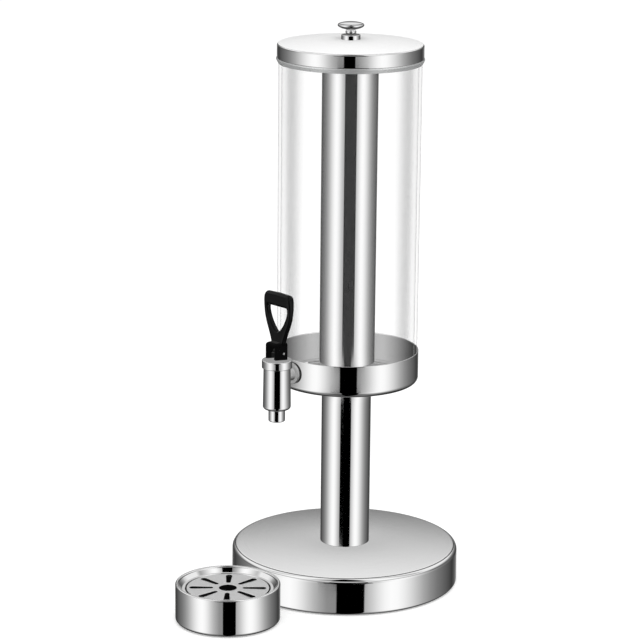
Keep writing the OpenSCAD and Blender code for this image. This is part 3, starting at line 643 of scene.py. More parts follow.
def clear_plastic(name="Clear plastic"):
    """A see-through wall, whose opacity follows the angle at which it is seen.

    Face on it is a faint haze. Towards the edge it becomes a mirror, and its opacity grows as the wall's own
    reflections do.
    """
    if name in bpy.data.materials:
        return bpy.data.materials[name]
    made, shader = fresh_material(name)
    tree = made.node_tree
    shader.inputs["Base Color"].default_value = (1.0, 1.0, 1.0, 1)
    use(made, shader, handling_marks(), {"Roughness": 0.02, "Smudges": 0.02, "Hairlines": 0.0})
    facing = node(tree, "ShaderNodeLayerWeight", {"Blend": 0.5}).outputs["Facing"]
    opacity = ramp(tree, facing, [(0.0, 0.024), (0.227, 0.03), (0.28, 0.06), (0.334, 0.11), (0.39, 0.155),
                                  (0.447, 0.175), (0.5, 0.155), (0.56, 0.1), (0.62, 0.05), (0.67, 0.035),
                                  (0.75, 0.05), (0.85, 0.14), (0.93, 0.4), (1.0, 0.9)])
    tree.links.new(opacity, shader.inputs["Alpha"])
    tree.links.new(ramp(tree, facing, [(0.1, 0.0), (0.22, 1.0)]), shader.inputs["Metallic"])
    return made


def hazy_silicone(colour, name="Hazy silicone"):
    """A soft milky seal that lets some light through."""
    if name in bpy.data.materials:
        return bpy.data.materials[name]
    made = moulded(name, colour, 0.2, depth=0.02, mottle=0.06)
    shader = made.node_tree.nodes["Principled BSDF"]
    facing = node(made.node_tree, "ShaderNodeLayerWeight", {"Blend": 0.5}).outputs["Facing"]
    opacity = ramp(made.node_tree, facing, [(0.0, 0.6), (0.5, 0.75), (1.0, 1.0)])
    made.node_tree.links.new(opacity, shader.inputs["Alpha"])
    shader.inputs["Metallic"].default_value = 0.6
    return made


def steel(settings):
    """The polished steel of base, column, pan, ice tube, lid and tray."""
    return polished("Polished steel", settings.finish.steel, settings.finish.polish)


def chrome(settings):
    """The chromed metal of the tap and the knob."""
    return polished("Chromed tap", settings.finish.chrome, 0.02, 0.02, 0.0)


def plain_steel(settings):
    """The plain steel of rods, pins and screws."""
    return brushed("Plain steel", settings.finish.satin, 0.25)


def black_plastic(settings):
    """The slightly glossy plastic of the grip and the stem."""
    return moulded("Black plastic", settings.finish.black, 0.2, depth=0.02, mottle=0.1, gloss=0.2)


def domed(land, reach, top, rise, start=0.93, count=24):
    """A dome from its shoulder to the land in its middle: height = top - rise s^2, radius = land + (reach - land) s.

    It starts where s is a little below 1, because a rounded shoulder takes up the rest.
    """
    s = np.linspace(start, 0, count)
    return np.stack([land + (reach - land) * s, top - rise * s * s], axis=1)


class DISPENSER_OT_base(bpy.types.Operator):
    """Make the round base: a domed sheet with a rounded shoulder and a hem, on its rubber mat"""

    bl_idname = "dispenser.base"
    bl_label = "Base"

    def execute(self, context):
        settings = context.scene.dispenser
        s = settings.base
        foot = low("base_shell")
        hole = rod_hole()
        side = s.radius - s.taper
        dome = domed(s.land, side - s.lean, s.top, s.rise)
        inside = domed(s.land, side - s.lean - s.sheet, s.top - s.sheet, s.rise)[::-1]
        line = outline((s.radius - s.hem, foot), (side, foot, s.edge),
                       (side - s.lean, s.top - s.rise, s.shoulder), dome,
                       (hole, s.top), (hole, s.top - s.sheet), inside,
                       (side - s.lean - s.sheet, s.top - s.rise - s.sheet, s.shoulder - s.sheet),
                       (side - s.sheet, foot + s.sheet, s.edge - s.sheet), (s.radius - s.hem, foot + s.sheet))
        top = brushed("Brushed top", settings.finish.steel, 0.1, fineness=5000.0, depth=0.05)
        cover = piece("Base_cover", [turned(eased(line), turns=224)], steel(settings), "frame", "base_shell")
        top_finish(cover, top)
        return {"FINISHED"}


class DISPENSER_OT_column(bpy.types.Operator):
    """Make the column and the pan that it carries, brushed inside and polished outside"""

    bl_idname = "dispenser.column"
    bl_label = "Column and pan"

    def execute(self, context):
        settings = context.scene.dispenser
        s = settings.column
        foot, head = low("column_tube"), high("column_tube")
        line = outline((s.radius - s.wall, foot), (s.radius, foot, EDGE), (s.radius, head, EDGE),
                       (s.radius - s.wall, head))
        piece("Column", [turned(eased(line))], steel(settings), "frame", "column_tube")
        foot, head = low("pan"), high("pan")
        hole = rod_hole()
        inner = s.pan_radius - s.pan_wall
        line = outline((hole, foot), (s.pan_radius, foot, s.pan_round), (s.pan_radius, head, s.pan_lip),
                       (inner, head, s.pan_lip), (inner, foot + s.pan_wall, s.pan_round - s.pan_wall),
                       (hole, foot + s.pan_wall))
        pan = piece("Pan", [turned(eased(line), turns=192)], steel(settings), "frame", "pan")
        centres, normals = face_rows(pan, "center"), face_rows(pan, "normal")
        inside = (np.einsum("ij,ij->i", centres[:, :2], normals[:, :2]) < -0.01) | (normals[:, 2] > 0.7)
        lip = 0.0008
        # Inward faces get brushed rings and a darker copy of the steel: the darker colour is painted shade inside the
        # vessel
        second_finish(pan, brushed("Brushed pan", settings.finish.pan, 0.18, fineness=2600.0, depth=0.25),
                      inside & (centres[:, 2] < head - lip))
        return {"FINISHED"}


class DISPENSER_OT_vessel(bpy.types.Operator):
    """Make the clear vessel and the seal round its rim"""

    bl_idname = "dispenser.vessel"
    bl_label = "Vessel and rim seal"

    def execute(self, context):
        settings = context.scene.dispenser
        s = settings.vessel
        foot, head = low("vessel"), high("vessel")
        hole, inner = rod_hole(), s.radius - s.wall
        line = outline((hole, foot), (s.radius, foot, s.round), (s.radius, head, 0.0005), (inner, head, 0.0005),
                       (inner, foot + s.wall, s.round - s.wall), (hole, foot + s.wall))
        piece("Vessel", [turned(eased(line), turns=192)], clear_plastic(), "frame", "vessel")
        seal_low, seal_top = low("rim_gasket"), high("rim_gasket")
        gap, thick, ease = 0.00005, 0.0008, 0.0004
        out, leg, seat = s.radius + gap, inner - gap, seal_top - 0.01
        line = outline((out, seal_low), (out + s.skin, seal_low, EDGE / 2), (s.flange, seat - 0.00125, EDGE),
                       (s.flange, seat, EDGE), (out + s.skin, seat), (out + s.skin, seal_top, ease),
                       (leg - thick, seal_top, ease), (leg - thick, seal_low), (leg, seal_low),
                       (leg, head + 0.00002), (out, head + 0.00002))
        piece("Rim_seal", [turned(eased(line, reach=0.0002), turns=192)], hazy_silicone(settings.finish.silicone),
              "frame", "rim_gasket")
        return {"FINISHED"}


class DISPENSER_OT_ice_tube(bpy.types.Operator):
    """Make the polished ice tube that stands in the vessel"""

    bl_idname = "dispenser.ice_tube"
    bl_label = "Ice tube"

    def execute(self, context):
        settings = context.scene.dispenser
        s = settings.vessel
        foot, head, inner = low("ice_tube"), high("ice_tube"), s.tube_radius - s.tube_wall
        line = outline((inner, foot), (s.tube_radius, foot, EDGE), (s.tube_radius, head, 0.0004),
                       (inner, head, 0.0004))
        piece("Ice_tube", [turned(eased(line), turns=160)], steel(settings), "ice_tube", "ice_tube")
        return {"FINISHED"}


class DISPENSER_OT_lid(bpy.types.Operator):
    """Make the domed lid and the knob on it"""

    bl_idname = "dispenser.lid"
    bl_label = "Lid and knob"

    def execute(self, context):
        settings = context.scene.dispenser
        s = settings.lid
        foot, head = low("lid_shell"), high("lid_shell")
        hole, inner = 0.0022, s.radius - s.wall
        land = s.foot_radius + 0.001
        dome = domed(land, s.radius - s.draft, head, s.rise)
        inside = domed(land, inner - s.draft, head - s.wall, s.rise)[::-1]
        line = outline((inner, foot), (s.radius, foot, EDGE), (s.radius - s.draft, head - s.rise, s.round), dome,
                       (hole, head), (hole, head - s.wall), inside,
                       (inner - s.draft, head - s.rise - s.wall, s.round - s.wall))
        # The lid's upward faces: the brushed rings are real; their nearly non-metal white is a painted sheen standing
        # in for the overhead reflection
        top = brushed("Brushed lid", settings.finish.steel, 0.3, fineness=5000.0, depth=0.05, metallic=0.08)
        lid = piece("Lid", [turned(eased(line), turns=192)], steel(settings), "lid", "lid_shell")
        top_finish(lid, top)
        knob_low, knob_top = low("lid_knob"), high("lid_knob")
        bead_low, bead_top, bead_round, foot_round = knob_low + 0.0045, knob_low + 0.0097, 0.0026, 0.0006
        rim = (bead_top + knob_top) / 2
        under = bezier([(s.neck_radius + 0.0006, bead_top), (s.knob_radius * 0.6, bead_top),
                        (s.knob_radius, rim - 0.0014), (s.knob_radius, rim)])
        crown = bezier([(s.knob_radius, rim + 0.0007), (s.knob_radius, rim + 0.0021),
                        (s.knob_radius * 0.6, knob_top), (0.0, knob_top)], 16)
        line = np.vstack([[(0.0, knob_low), (s.foot_radius, knob_low)],
                          arc((s.foot_radius - 0.00074, bead_low - foot_round), foot_round, 2, 90, 5),
                          [(s.neck_radius, bead_low)],
                          arc((s.bead_radius - bead_round, bead_low + bead_round), bead_round, -90, 90, 12),
                          [(s.neck_radius, bead_top)], under, crown])
        piece("Knob", [turned(eased(line, closed=False, reach=0.0002), turns=128, closed=False)],
              chrome(settings), "lid", "lid_knob")
        return {"FINISHED"}


class DISPENSER_OT_tap(bpy.types.Operator):
    """Make the tap: its barrel with the shank, the ring nut above and the spout below"""

    bl_idname = "dispenser.tap"
    bl_label = "Tap"

    def execute(self, context):
        settings = context.scene.dispenser
        s = settings.tap
        axis = tuple(middle("bonnet_ring")[:2])
        ring_low, ring_top = low("bonnet_ring"), high("bonnet_ring")
        neck_top, foot = high("tap_barrel"), low("tap_barrel")
        neck, socket, floor = s.chamber + 0.0009, s.spout + 0.0001, foot + 0.003
        line = outline((socket, foot), (s.radius + s.flare, foot, s.round), (s.radius, ring_low, 0.0002),
                       (neck, ring_low), (neck, neck_top), (s.chamber, neck_top), (s.chamber, floor), (socket, floor))
        height = float(middle("tap_outer_washer")[2])
        back = float(corners("tap_outer_washer")[0, 1])
        end = float(corners("tap_barrel")[1, 1])
        start, front = axis[1] + s.radius - 0.0012, back - 0.0025
        shank = outline((s.bore, start), (s.shank, start), (s.shank, front), (s.flange, front, 0.0005),
                        (s.flange, back, EDGE), (s.shank, back), (s.shank, end, 0.0006), (s.bore, end))
        barrel = piece("Tap_barrel", [turned(eased(line), axis, 128), turned_on_y(eased(shank), axis[0], height)],
                       chrome(settings), "frame", "tap_barrel")
        second_finish(barrel, brushed("Satin shank", settings.finish.shank, 0.45, (axis[0], 0.0, height)),
                      face_rows(barrel, "center")[:, 1] > axis[1] + s.radius + 0.0006)
        inner, hole, under = neck + 0.0001, 0.0033, ring_top - 0.002
        line = outline((inner, ring_low), (s.ring, ring_low, s.ring_edge), (s.ring, ring_top, s.ring_edge),
                       (hole, ring_top), (hole, under), (inner, under))
        piece("Ring_nut", [turned(eased(line), axis, 128)], chrome(settings), "frame", "bonnet_ring")
        tip, seat = low("spout"), high("spout")
        collar = s.chamber - 0.0004
        line = outline((s.spout_bore, tip, EDGE), (s.spout, tip, 0.0012), (s.spout, floor), (collar, floor),
                       (collar, seat), (s.spout_bore, seat))
        piece("Spout", [turned(eased(line), axis, 96)], chrome(settings), "frame", "spout")
        return {"FINISHED"}


def ring_section(width, thick, radius, count=6):
    """Rounded rectangles, one for each width: rows of shares along the width and of places across it.

    Each corner is an arc about the point that lies its radius inside both faces.
    """
    quarter = np.radians(np.linspace(0, 90, count))
    side = np.repeat([1, -1, -1, 1], count)
    face = np.repeat([1, 1, -1, -1], count)
    angle = np.concatenate([quarter + i * math.pi / 2 for i in range(4)])
    width, thick, radius = width[:, None], thick[:, None], radius[:, None]
    along = width / 2 + side * (width / 2 - radius) + radius * np.cos(angle)
    across = face * (thick / 2 - radius) + radius * np.sin(angle)
    return along, across


class DISPENSER_OT_handle(bpy.types.Operator):
    """Make the tap's handle: the forked block on the pin and the open grip above it"""

    bl_idname = "dispenser.handle"
    bl_label = "Handle"

    def execute(self, context):
        settings = context.scene.dispenser
        s = settings.handle
        pin = middle("handle_pin")
        handle = piece("Handle", [self.grip(s, pin)] + self.block(s, pin), black_plastic(settings), "handle",
                       "handle", sharp=40)
        second_finish(handle, moulded("Matte black plastic", settings.finish.black, 0.35, gloss=0.04),
                      face_rows(handle, "center")[:, 2] < pin[2] + s.block_top)
        reach = s.block
        line = np.vstack([[(0.0, -reach)], arc((s.pin - EDGE, EDGE - reach), EDGE, -90, 0, 4),
                          arc((s.pin - EDGE, reach - EDGE), EDGE, 0, 90, 4), [(0.0, reach)]])
        piece("Handle_pin", [turned_on_x(eased(line, closed=False, reach=0.0001), pin[1], pin[2], closed=False)],
              plain_steel(settings), "handle", "handle_pin")
        return {"FINISHED"}

    @staticmethod
    def grip(s, pin):
        """A ring carried round the window: at each step a rounded rectangle spans from window to outer edge."""
        def at(shares, width, height, foot):
            return [(a * width, foot + b * height) for a, b in shares]
        tall, gap = s.grip_top - s.grip_low, s.window_top - s.window_low
        side = bezier([(s.block, s.grip_low)] + at([(0.53, 0.23), (1, 0.42), (1, 0.72)], s.half_width, tall,
                                                   s.grip_low), 26)
        corner = bezier([side[-1]] + at([(1, 0.86), (0.985, 0.975), (0.78, 0.99)], s.half_width, tall,
                                        s.grip_low), 14)
        outer = np.vstack([np.linspace((0.0, s.grip_low), (s.block, s.grip_low), 8)[:-1], side, corner[1:],
                           np.linspace(corner[-1], (0.0, s.grip_top), 12)[1:]])
        edge = bezier(at([(0, 0), (0.25, 0), (0.93, 0.48), (1, 0.9)], s.window, gap, s.window_low), 33)
        bend = bezier([edge[-1]] + at([(1, 0.97), (0.97, 1), (0.88, 1)], s.window, gap, s.window_low), 14)
        inner = np.vstack([edge, bend[1:], np.linspace(bend[-1], (0.0, s.window_top), 12)[1:]])
        mirror = np.array([-1.0, 1.0])
        outer = np.vstack([outer, (outer * mirror)[-2:0:-1]])
        inner = np.vstack([inner, (inner * mirror)[-2:0:-1]])
        reach = np.linalg.norm(outer - inner, axis=1)
        rise = 0.004
        lift = np.clip((inner[:, 1] - s.window_top + rise) / rise, 0, 1)
        thick = s.thick + (s.bar - s.thick) * lift
        along, across = ring_section(reach, thick, np.minimum(0.0021 + 0.0016 * lift, reach * 0.45))
        way = (outer - inner) / reach[:, None]
        flat = inner[:, None] + way[:, None] * along[..., None]
        grid = np.stack([pin[0] + flat[..., 0], pin[1] - across, pin[2] + flat[..., 1]], axis=-1)
        return skin(grid, wrap_rows=True, wrap_columns=True)

    @staticmethod
    def block(s, pin):
        """A forked lower part and a rounded roof, both lofted from loops; the fork's foot follows the cam.

        At a turn t the cam is cam + lead t deep, and its face is the curve that such straight lines touch.
        """
        near, far, front, rear, mouth, lead = -s.front, s.back, 0.0006, 0.001, 0.0009, 0.005
        fork = outline((-s.block, near, front), (-s.slot, near, mouth), (-s.slot, s.slot_back, front),
                       (s.slot, s.slot_back, front), (s.slot, near, mouth), (s.block, near, front),
                       (s.block, far, rear), (-s.block, far, rear))
        turn = np.linspace(0, math.radians(35), 9)
        depth = s.cam + lead * turn
        cam_y = -depth * np.sin(turn) - lead * np.cos(turn)
        cam_z = -depth * np.cos(turn) + lead * np.sin(turn)
        foot = np.interp(fork[:, 1], cam_y[::-1], cam_z[::-1])
        levels = np.stack([foot, foot + EDGE, np.full(len(fork), s.slot_top - EDGE), np.full(len(fork), s.slot_top)])
        lower = lofted(fork, levels)
        roof = outline((-s.block, near, front), (s.block, near, front), (s.block, far, rear), (-s.block, far, rear))
        bend = np.radians(np.linspace(0, 90, 9))
        bulge = s.block_top - s.slot_top - EDGE
        rise = np.concatenate([[s.slot_top - 0.0004], s.slot_top + EDGE + bulge * np.sin(bend)])
        upper = lofted(roof, rise, np.concatenate([[0.0], bulge * (1 - np.cos(bend))]))
        return [(spots + pin, faces) for spots, faces in (capped(lower), capped(upper))]


class DISPENSER_OT_tray(bpy.types.Operator):
    """Make the drip tray with its rolled rim and the slotted grate in it"""

    bl_idname = "dispenser.tray"
    bl_label = "Drip tray"

    def execute(self, context):
        settings = context.scene.dispenser
        s = settings.tray
        axis = tuple(middle("tray_cup")[:2])
        foot, head = low("tray_cup"), high("tray_cup")
        top, under = high("tray_grate"), low("tray_grate") - 0.0002
        bend = s.rim / 2
        mid = (s.radius - bend, head - bend)
        line = np.vstack([
            [(0.0, foot)], arc((s.radius - s.round, foot + s.round), s.round, -90, 0, 12), arc(mid, bend, 0, 180, 20),
            [(s.seat + s.flat, top), (s.seat, top), (s.seat, under), (s.ledge, under), (s.ledge, under - s.sheet),
             (s.seat + s.sheet, under - s.sheet), (s.seat + s.sheet, top - s.sheet),
             (s.seat + s.flat + s.sheet, top - s.sheet), (s.radius - s.rim + s.sheet, mid[1] - s.sheet)],
            arc(mid, bend - s.sheet, 180, 0, 12),
            arc((s.radius - s.round, foot + s.round), s.round - s.sheet, 0, -90, 8), [(0.0, foot + s.sheet)]])
        tray = piece("Tray", [turned(eased(line, closed=False, reach=0.0003), axis, 192, closed=False)],
                     steel(settings), "tray", "tray_cup")
        # Painted shade: the faces inside the tray below the grate are coloured near black
        hollow_shade_finish = moulded("Stained steel", settings.finish.hollow_shade, 0.6, 400.0, 0.1, 0.5, 0.1)
        second_finish(tray, hollow_shade_finish, self.hollow(tray, axis, s, under))
        grate = piece("Grate", [self.plate(s, axis, top)],
                      brushed("Satin grate", settings.finish.grate, 0.34, (axis[0], axis[1], 0.0), 3200.0, 0.12),
                      "grate", "tray_grate")
        self.merge(grate)
        # The grate's cut walls, made by the solidify rim, take the same near-black painted shade
        grate.data.materials.append(hollow_shade_finish)
        wall = grate.modifiers.new("Wall", "SOLIDIFY")
        wall.material_offset_rim = 1
        wall.thickness = top - low("tray_grate")
        wall.offset = -1.0
        ease = grate.modifiers.new("Ease", "BEVEL")
        ease.width = 0.00018
        ease.segments = 2
        ease.limit_method = "ANGLE"
        ease.angle_limit = math.radians(50)
        return {"FINISHED"}

    @staticmethod
    def hollow(thing, axis, s, under):
        """Picks the faces inside the tray and below the grate, which get a near-black painted shade."""
        centres, normals = face_rows(thing, "center"), face_rows(thing, "normal")
        away = centres[:, :2] - np.array(axis)
        far = np.linalg.norm(away, axis=1)
        inward = np.einsum("ij,ij->i", away, normals[:, :2]) < 0
        floor = (normals[:, 2] > 0.5) & (far < s.radius - s.sheet)
        return (centres[:, 2] < under + 0.0001) & (inward | floor) & (far > 0)

    @staticmethod
    def plate(s, axis, height, across=9):
        """The grate's upper face, in one wedge for each slot.

        A row runs from the edge of one slot to the edge of the next. At a distance d from the middle, a slot is
        as wide as its straight sides give, and its round ends follow sqrt(r^2 - (d - end)^2).
        """
        in_r, out_r = s.slot_in / 2, s.slot_out / 2
        start, end = s.slot_from + in_r, s.slot_to - out_r
        bend = 1 - np.cos(np.linspace(0, math.pi / 2, 9))
        d = np.concatenate([np.linspace(s.hole, s.slot_from, 5)[:-1], s.slot_from + in_r * bend,
                            np.linspace(start, end, 12)[1:-1], (s.slot_to - out_r * bend)[::-1],
                            np.linspace(s.slot_to, s.grate, 4)[1:]])
        wide = in_r + (out_r - in_r) * (d - start) / (end - start)
        wide = np.where(d < start, np.sqrt(np.maximum(in_r**2 - (start - d) ** 2, 0)), wide)
        wide = np.where(d > end, np.sqrt(np.maximum(out_r**2 - (d - end) ** 2, 0)), wide)
        far = np.hypot(d, wide)[:, None]
        gap = np.arctan2(wide, d)[:, None]
        step = 2 * math.pi / s.slots
        t = np.linspace(0, 1, across)[None, :]
        wedges = []
        for i in range(s.slots):
            a = s.turn + i * step + gap + (step - 2 * gap) * t
            grid = np.stack([axis[0] + far * np.cos(a), axis[1] + far * np.sin(a), height + 0 * a], axis=-1)
            points, rows = skin(grid)
            wedges.append((points, [row[::-1] for row in rows]))
        return joined(wedges)

    @staticmethod
    def merge(thing):
        """Joins the wedges where they meet beside the slots."""
        work = bmesh.new()
        work.from_mesh(thing.data)
        bmesh.ops.remove_doubles(work, verts=work.verts, dist=1e-6)
        work.to_mesh(thing.data)
        work.free()


class DISPENSER_OT_inner_parts(bpy.types.Operator):
    """Give the solids that stay as they are their finishes: weight, rod, nuts, washers, mats and valve"""

    bl_idname = "dispenser.inner_parts"
    bl_label = "Inner parts"

    def execute(self, context):
        settings = context.scene.dispenser
        colours = settings.finish
        finishes = {
            moulded("Painted iron", colours.iron, 0.55, 500.0, 0.3, 0.4): ["base_weight"],
            plain_steel(settings): ["plate_screws", "column_plug_low", "column_plug_top", "tie_rod", "rod_washer",
                                    "rod_nut", "valve_spring", "knob_washer", "knob_screw"],
            brushed("Satin steel", colours.satin, colours.brushing): ["base_plate", "ice_tube_cap"],
            chrome(settings): ["tap_lock_nut"],
            moulded("Black rubber", colours.rubber, 0.7, depth=0.25, mottle=0.3): [
                "base_mat", "tray_mat", "tap_outer_washer", "tap_inner_washer", "seat_oring", "guide_oring",
                "seat_cup"],
            moulded("White plastic", colours.white, 0.4, depth=0.05, mottle=0.05): [
                "floor_gasket", "clamp_boss", "stem_guide"],
            black_plastic(settings): ["valve_stem"],
        }
        for finish, nodes in finishes.items():
            for name in nodes:
                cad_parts[name].visible_glossy = False
                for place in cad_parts[name].material_slots:
                    place.material = finish
        return {"FINISHED"}


# What polished steel reflects: grey levels by the turn from the strip's middle, in degrees
STUDIO = [(0.0, 0.24), (13.5, 0.27), (19.5, 0.36), (26.4, 0.47), (33.0, 0.62), (39.5, 0.79), (46.3, 0.93), (53.0, 1.0),
          (60.5, 0.97), (68.0, 0.86), (76.0, 0.71), (84.0, 0.55), (93.0, 0.39), (103.0, 0.27), (114.5, 0.18),
          (128.0, 0.12), (149.0, 0.04), (160.0, 0.1), (170.0, 0.3), (180.0, 0.45)]
# For directions that go down, by their upward part: the middle of the walls and of the black strip between them, and
# the strip's half width, in degrees. Two rows with the same angles span what one piece shows to the camera
BANDS = [(-0.344, -2.5, 5.3, 14.2), (-0.342, -4.5, 6.0, 14.2), (-0.3265, -4.5, 6.0, 14.2), (-0.3255, -4.2, -2.0, 24.9),
         (-0.2725, -4.2, -2.0, 24.9), (-0.2715, 3.0, 2.3, 13.7), (-0.2602, 3.0, 2.3, 13.7), (-0.2585, 0.5, 3.6, 24.6),
         (-0.1505, 0.5, 3.6, 24.6), (-0.149, -3.9, -1.9, 8.9), (-0.12, -3.9, -1.9, 8.9), (-0.11, 0.0, 0.0, 27.0),
         (-0.03, 0.0, 0.0, 27.0), (-0.02, -4.5, 4.0, 19.0)]
# Grey levels over and behind the object, by the upward part of the reflected direction
OVERHEAD = [(0.0, 0.08), (0.15, 0.16), (0.228, 0.27), (0.26, 0.34), (0.287, 0.4), (0.308, 0.47), (0.322, 0.54),
            (0.336, 0.61), (0.384, 0.7), (0.445, 0.84), (1.0, 0.86)]
# How steep BANDS may go, and the range of angles that a ramp's channel holds, in degrees
BAND_DEPTH, BAND_SPAN = 0.5, 60.0


class DISPENSER_OT_stage(bpy.types.Operator):
    """Make the floor, the studio's surroundings, a soft lamp and the camera"""

    bl_idname = "dispenser.stage"
    bl_label = "Stage"

    def execute(self, context):
        s = context.scene.dispenser.stage
        self.floor(context, s)
        self.surroundings(context, s)
        lamp = bpy.data.lights.new("Soft_lamp", "AREA")
        lamp.shape, lamp.size, lamp.energy = "DISK", s.lamp_size, s.lamp_power
        over = bpy.data.objects.new("Soft_lamp", lamp)
        over.location = s.lamp_place
        over.rotation_euler = (Vector((0, 0, 0.2)) - over.location).to_track_quat("-Z", "Y").to_euler()
        over.visible_glossy = over.visible_camera = False
        context.collection.objects.link(over)
        self.camera(context, s)
        context.scene.view_settings.view_transform = "Standard"
        return {"FINISHED"}

    @staticmethod
    def floor(context, s):
        """A round floor at the object's foot, plain and pale, which metal doesn't reflect."""
        disc = np.array([(0.0, 0.0), (0.3, 0.0), (1.0, 0.0), (s.floor, 0.0)])
        spots, faces = turned(disc[::-1], turns=96, closed=False)
        mesh = bpy.data.meshes.new("Floor")
        mesh.from_pydata(spots.tolist(), [], faces)
        made, shader = fresh_material("Pale floor")
        use(made, shader, moulded_grain(), {"Colour": (*s.floor_tint, 1), "Fineness": 30.0, "Depth": 0.0,
                                            "Roughness": 0.9, "Mottle": 0.01})
        seen = node(made.node_tree, "ShaderNodeLightPath").outputs["Is Camera Ray"]
        made.node_tree.links.new(figure(made.node_tree, "MULTIPLY", seen, 0.3), shader.inputs["Emission Strength"])
        shader.inputs["Emission Color"].default_value = (1, 1, 1, 1)
        shader.inputs["Specular IOR Level"].default_value = 0.0
        mesh.materials.append(made)
        thing = bpy.data.objects.new("Floor", mesh)
        thing.visible_glossy = False
        context.collection.objects.link(thing)

    @staticmethod
    def view_axes(s):
        """The photograph's view: to the right, level towards the camera, and straight towards it."""
        right = Vector((math.cos(s.azimuth), math.sin(s.azimuth), 0))
        near = Vector((math.sin(s.azimuth), -math.cos(s.azimuth), 0))
        return right, near, near * math.cos(s.pitch) + Vector((0, 0, math.sin(s.pitch)))

    def surroundings(self, context, s):
        """White behind the object, plain light all round, and for reflections a studio painted by direction.

        A direction's turn is the angle between its flat part and that of the photograph's view. Level and
        downward directions show two soft walls and a dark strip. Upward ones show OVERHEAD, or in front of the
        object the walls again, where they are low or steep. Lift is how upright a mirror has to stand to show a
        direction to the photograph's camera: a flat top shows only OVERHEAD, and a rounded shoulder a dark line.
        """
        world = bpy.data.worlds.new("Studio")
        world.use_nodes = True
        world.cycles.sampling_method = "NONE"
        context.scene.world = world
        tree = world.node_tree
        tree.nodes.clear()
        way = node(tree, "ShaderNodeTexCoord").outputs["Generated"]
        height = node(tree, "ShaderNodeSeparateXYZ", {"Vector": way}).outputs["Z"]
        right, near, back = self.view_axes(s)
        turn = figure(tree, "ARCTAN2", *(
            node(tree, "ShaderNodeVectorMath", {0: way, 1: axis}, operation="DOT_PRODUCT").outputs["Value"]
            for axis in (right, near)))
        degrees = figure(tree, "MULTIPLY", turn, 180 / math.pi)
        band = ramp(tree, ranged(tree, height, -BAND_DEPTH, 0.0),
                    [(1 + z / BAND_DEPTH, tuple(a / BAND_SPAN + 0.5 for a in angles)) for z, *angles in BANDS])
        walls_turn, strip_turn, strip_width = (
            figure(tree, "MULTIPLY_ADD", channel, BAND_SPAN, -BAND_SPAN / 2)
            for channel in tuple(node(tree, "ShaderNodeSeparateColor", {"Color": band}).outputs)[:3])

        def off(angle):
            """How far a direction's turn lies from an angle, in degrees."""
            return figure(tree, "ABSOLUTE", figure(tree, "SUBTRACT", degrees, angle))

        walls = ramp(tree, figure(tree, "DIVIDE", off(walls_turn), 180.0), [(a / 180, v) for a, v in STUDIO])
        past = figure(tree, "SUBTRACT", off(strip_turn), strip_width)
        shown = mixed(tree, ranged(tree, past, -0.5, 0.5), 0.0, walls)
        overhead = ramp(tree, height, OVERHEAD)
        ahead = ranged(tree, figure(tree, "ABSOLUTE", turn), math.radians(100), math.radians(90))
        reach = ramp(tree, height, [(0.17, 1.0), (0.2, 0.0), (0.5, 0.0), (0.54, 1.0)])
        sky = mixed(tree, figure(tree, "MULTIPLY", ahead, reach), overhead, shown)
        mirror = vector(tree, "NORMALIZE", vector(tree, "ADD", way, back))
        lift = node(tree, "ShaderNodeSeparateXYZ", {"Vector": mirror}).outputs["Z"]
        over = mixed(tree, ramp(tree, lift, [(0.9, 0.0), (0.93, 1.0)]), sky, overhead)
        shoulder = ramp(tree, lift, [(0.82, 0.0), (0.85, 1.0), (0.925, 1.0), (0.94, 0.0)])
        above = mixed(tree, shoulder, over, 0.04)
        level = mixed(tree, ranged(tree, height, -0.03, 0.03), shown, above)
        mirrored = mixed(tree, ranged(tree, height, -0.7, -0.38, 0.2), 0.0, level)
        rays = node(tree, "ShaderNodeLightPath").outputs
        lit = mixed(tree, rays["Is Glossy Ray"], 0.82, mirrored)
        direct = figure(tree, "MAXIMUM", rays["Is Camera Ray"], rays["Is Transmission Ray"])
        glow = node(tree, "ShaderNodeBackground", {"Color": mixed(tree, direct, lit, 1.0), "Strength": 1.0})
        node(tree, "ShaderNodeOutputWorld", {"Surface": glow.outputs["Background"]})

    def camera(self, context, s):
        """The photograph's view, turned by the roll about the way back from the aim."""
        right, _, back = self.view_axes(s)
        up = back.cross(right)
        side = right * math.cos(s.roll) + up * math.sin(s.roll)
        top = up * math.cos(s.roll) - right * math.sin(s.roll)
        aim = Vector((0, 0, s.aim)) - right * s.aside
        data = bpy.data.cameras.new("Camera")
        data.lens, data.sensor_width, data.clip_end = s.lens, 36.0, 100.0
        thing = bpy.data.objects.new("Camera", data)
        place = Matrix((side, top, back)).transposed().to_4x4()
        place.translation = aim + back * s.distance
        thing.matrix_world = place
        context.collection.objects.link(thing)
        context.scene.camera = thing


class DISPENSER_PT_panel(bpy.types.Panel):
    """Buttons and settings for the dispenser's pieces"""

    bl_idname = "DISPENSER_PT_panel"
    bl_label = "Dispenser"
    bl_space_type = "VIEW_3D"
    bl_region_type = "UI"
    bl_category = "Dispenser"

    def draw(self, context):
        for maker in MAKERS:
            self.layout.operator(maker.bl_idname)
        for name in DispenserSettings.__annotations__:
            settings = getattr(context.scene.dispenser, name)
            box = self.layout.box()
            box.label(text=name.capitalize())
            for key in type(settings).__annotations__:
                box.prop(settings, key)


GROUPS = (BaseSettings, ColumnSettings, VesselSettings, LidSettings, TapSettings, HandleSettings, TraySettings,
          FinishSettings, StageSettings, DispenserSettings)
MAKERS = (DISPENSER_OT_base, DISPENSER_OT_column, DISPENSER_OT_vessel, DISPENSER_OT_ice_tube, DISPENSER_OT_lid,
          DISPENSER_OT_tap, DISPENSER_OT_handle, DISPENSER_OT_tray, DISPENSER_OT_inner_parts, DISPENSER_OT_stage)


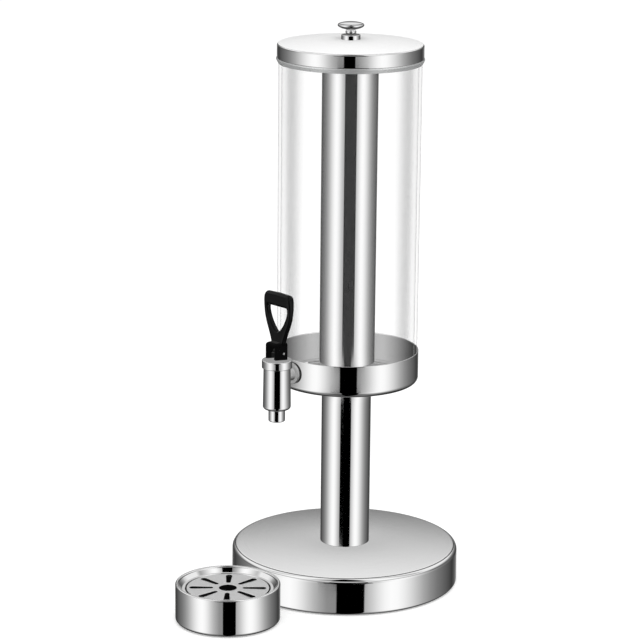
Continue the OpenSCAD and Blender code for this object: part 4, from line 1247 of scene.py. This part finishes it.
def register():
    for kind in GROUPS + MAKERS + (DISPENSER_PT_panel,):
        bpy.utils.register_class(kind)
    bpy.types.Scene.dispenser = PointerProperty(type=DispenserSettings)


def unregister():
    del bpy.types.Scene.dispenser
    for kind in reversed(GROUPS + MAKERS + (DISPENSER_PT_panel,)):
        bpy.utils.unregister_class(kind)


def main():
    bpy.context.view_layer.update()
    register()
    bpy.ops.dispenser.base()
    bpy.ops.dispenser.column()
    bpy.ops.dispenser.vessel()
    bpy.ops.dispenser.ice_tube()
    bpy.ops.dispenser.lid()
    bpy.ops.dispenser.tap()
    bpy.ops.dispenser.handle()
    bpy.ops.dispenser.tray()
    bpy.ops.dispenser.inner_parts()
    bpy.ops.dispenser.stage()


if __name__ == "__main__":
    main()
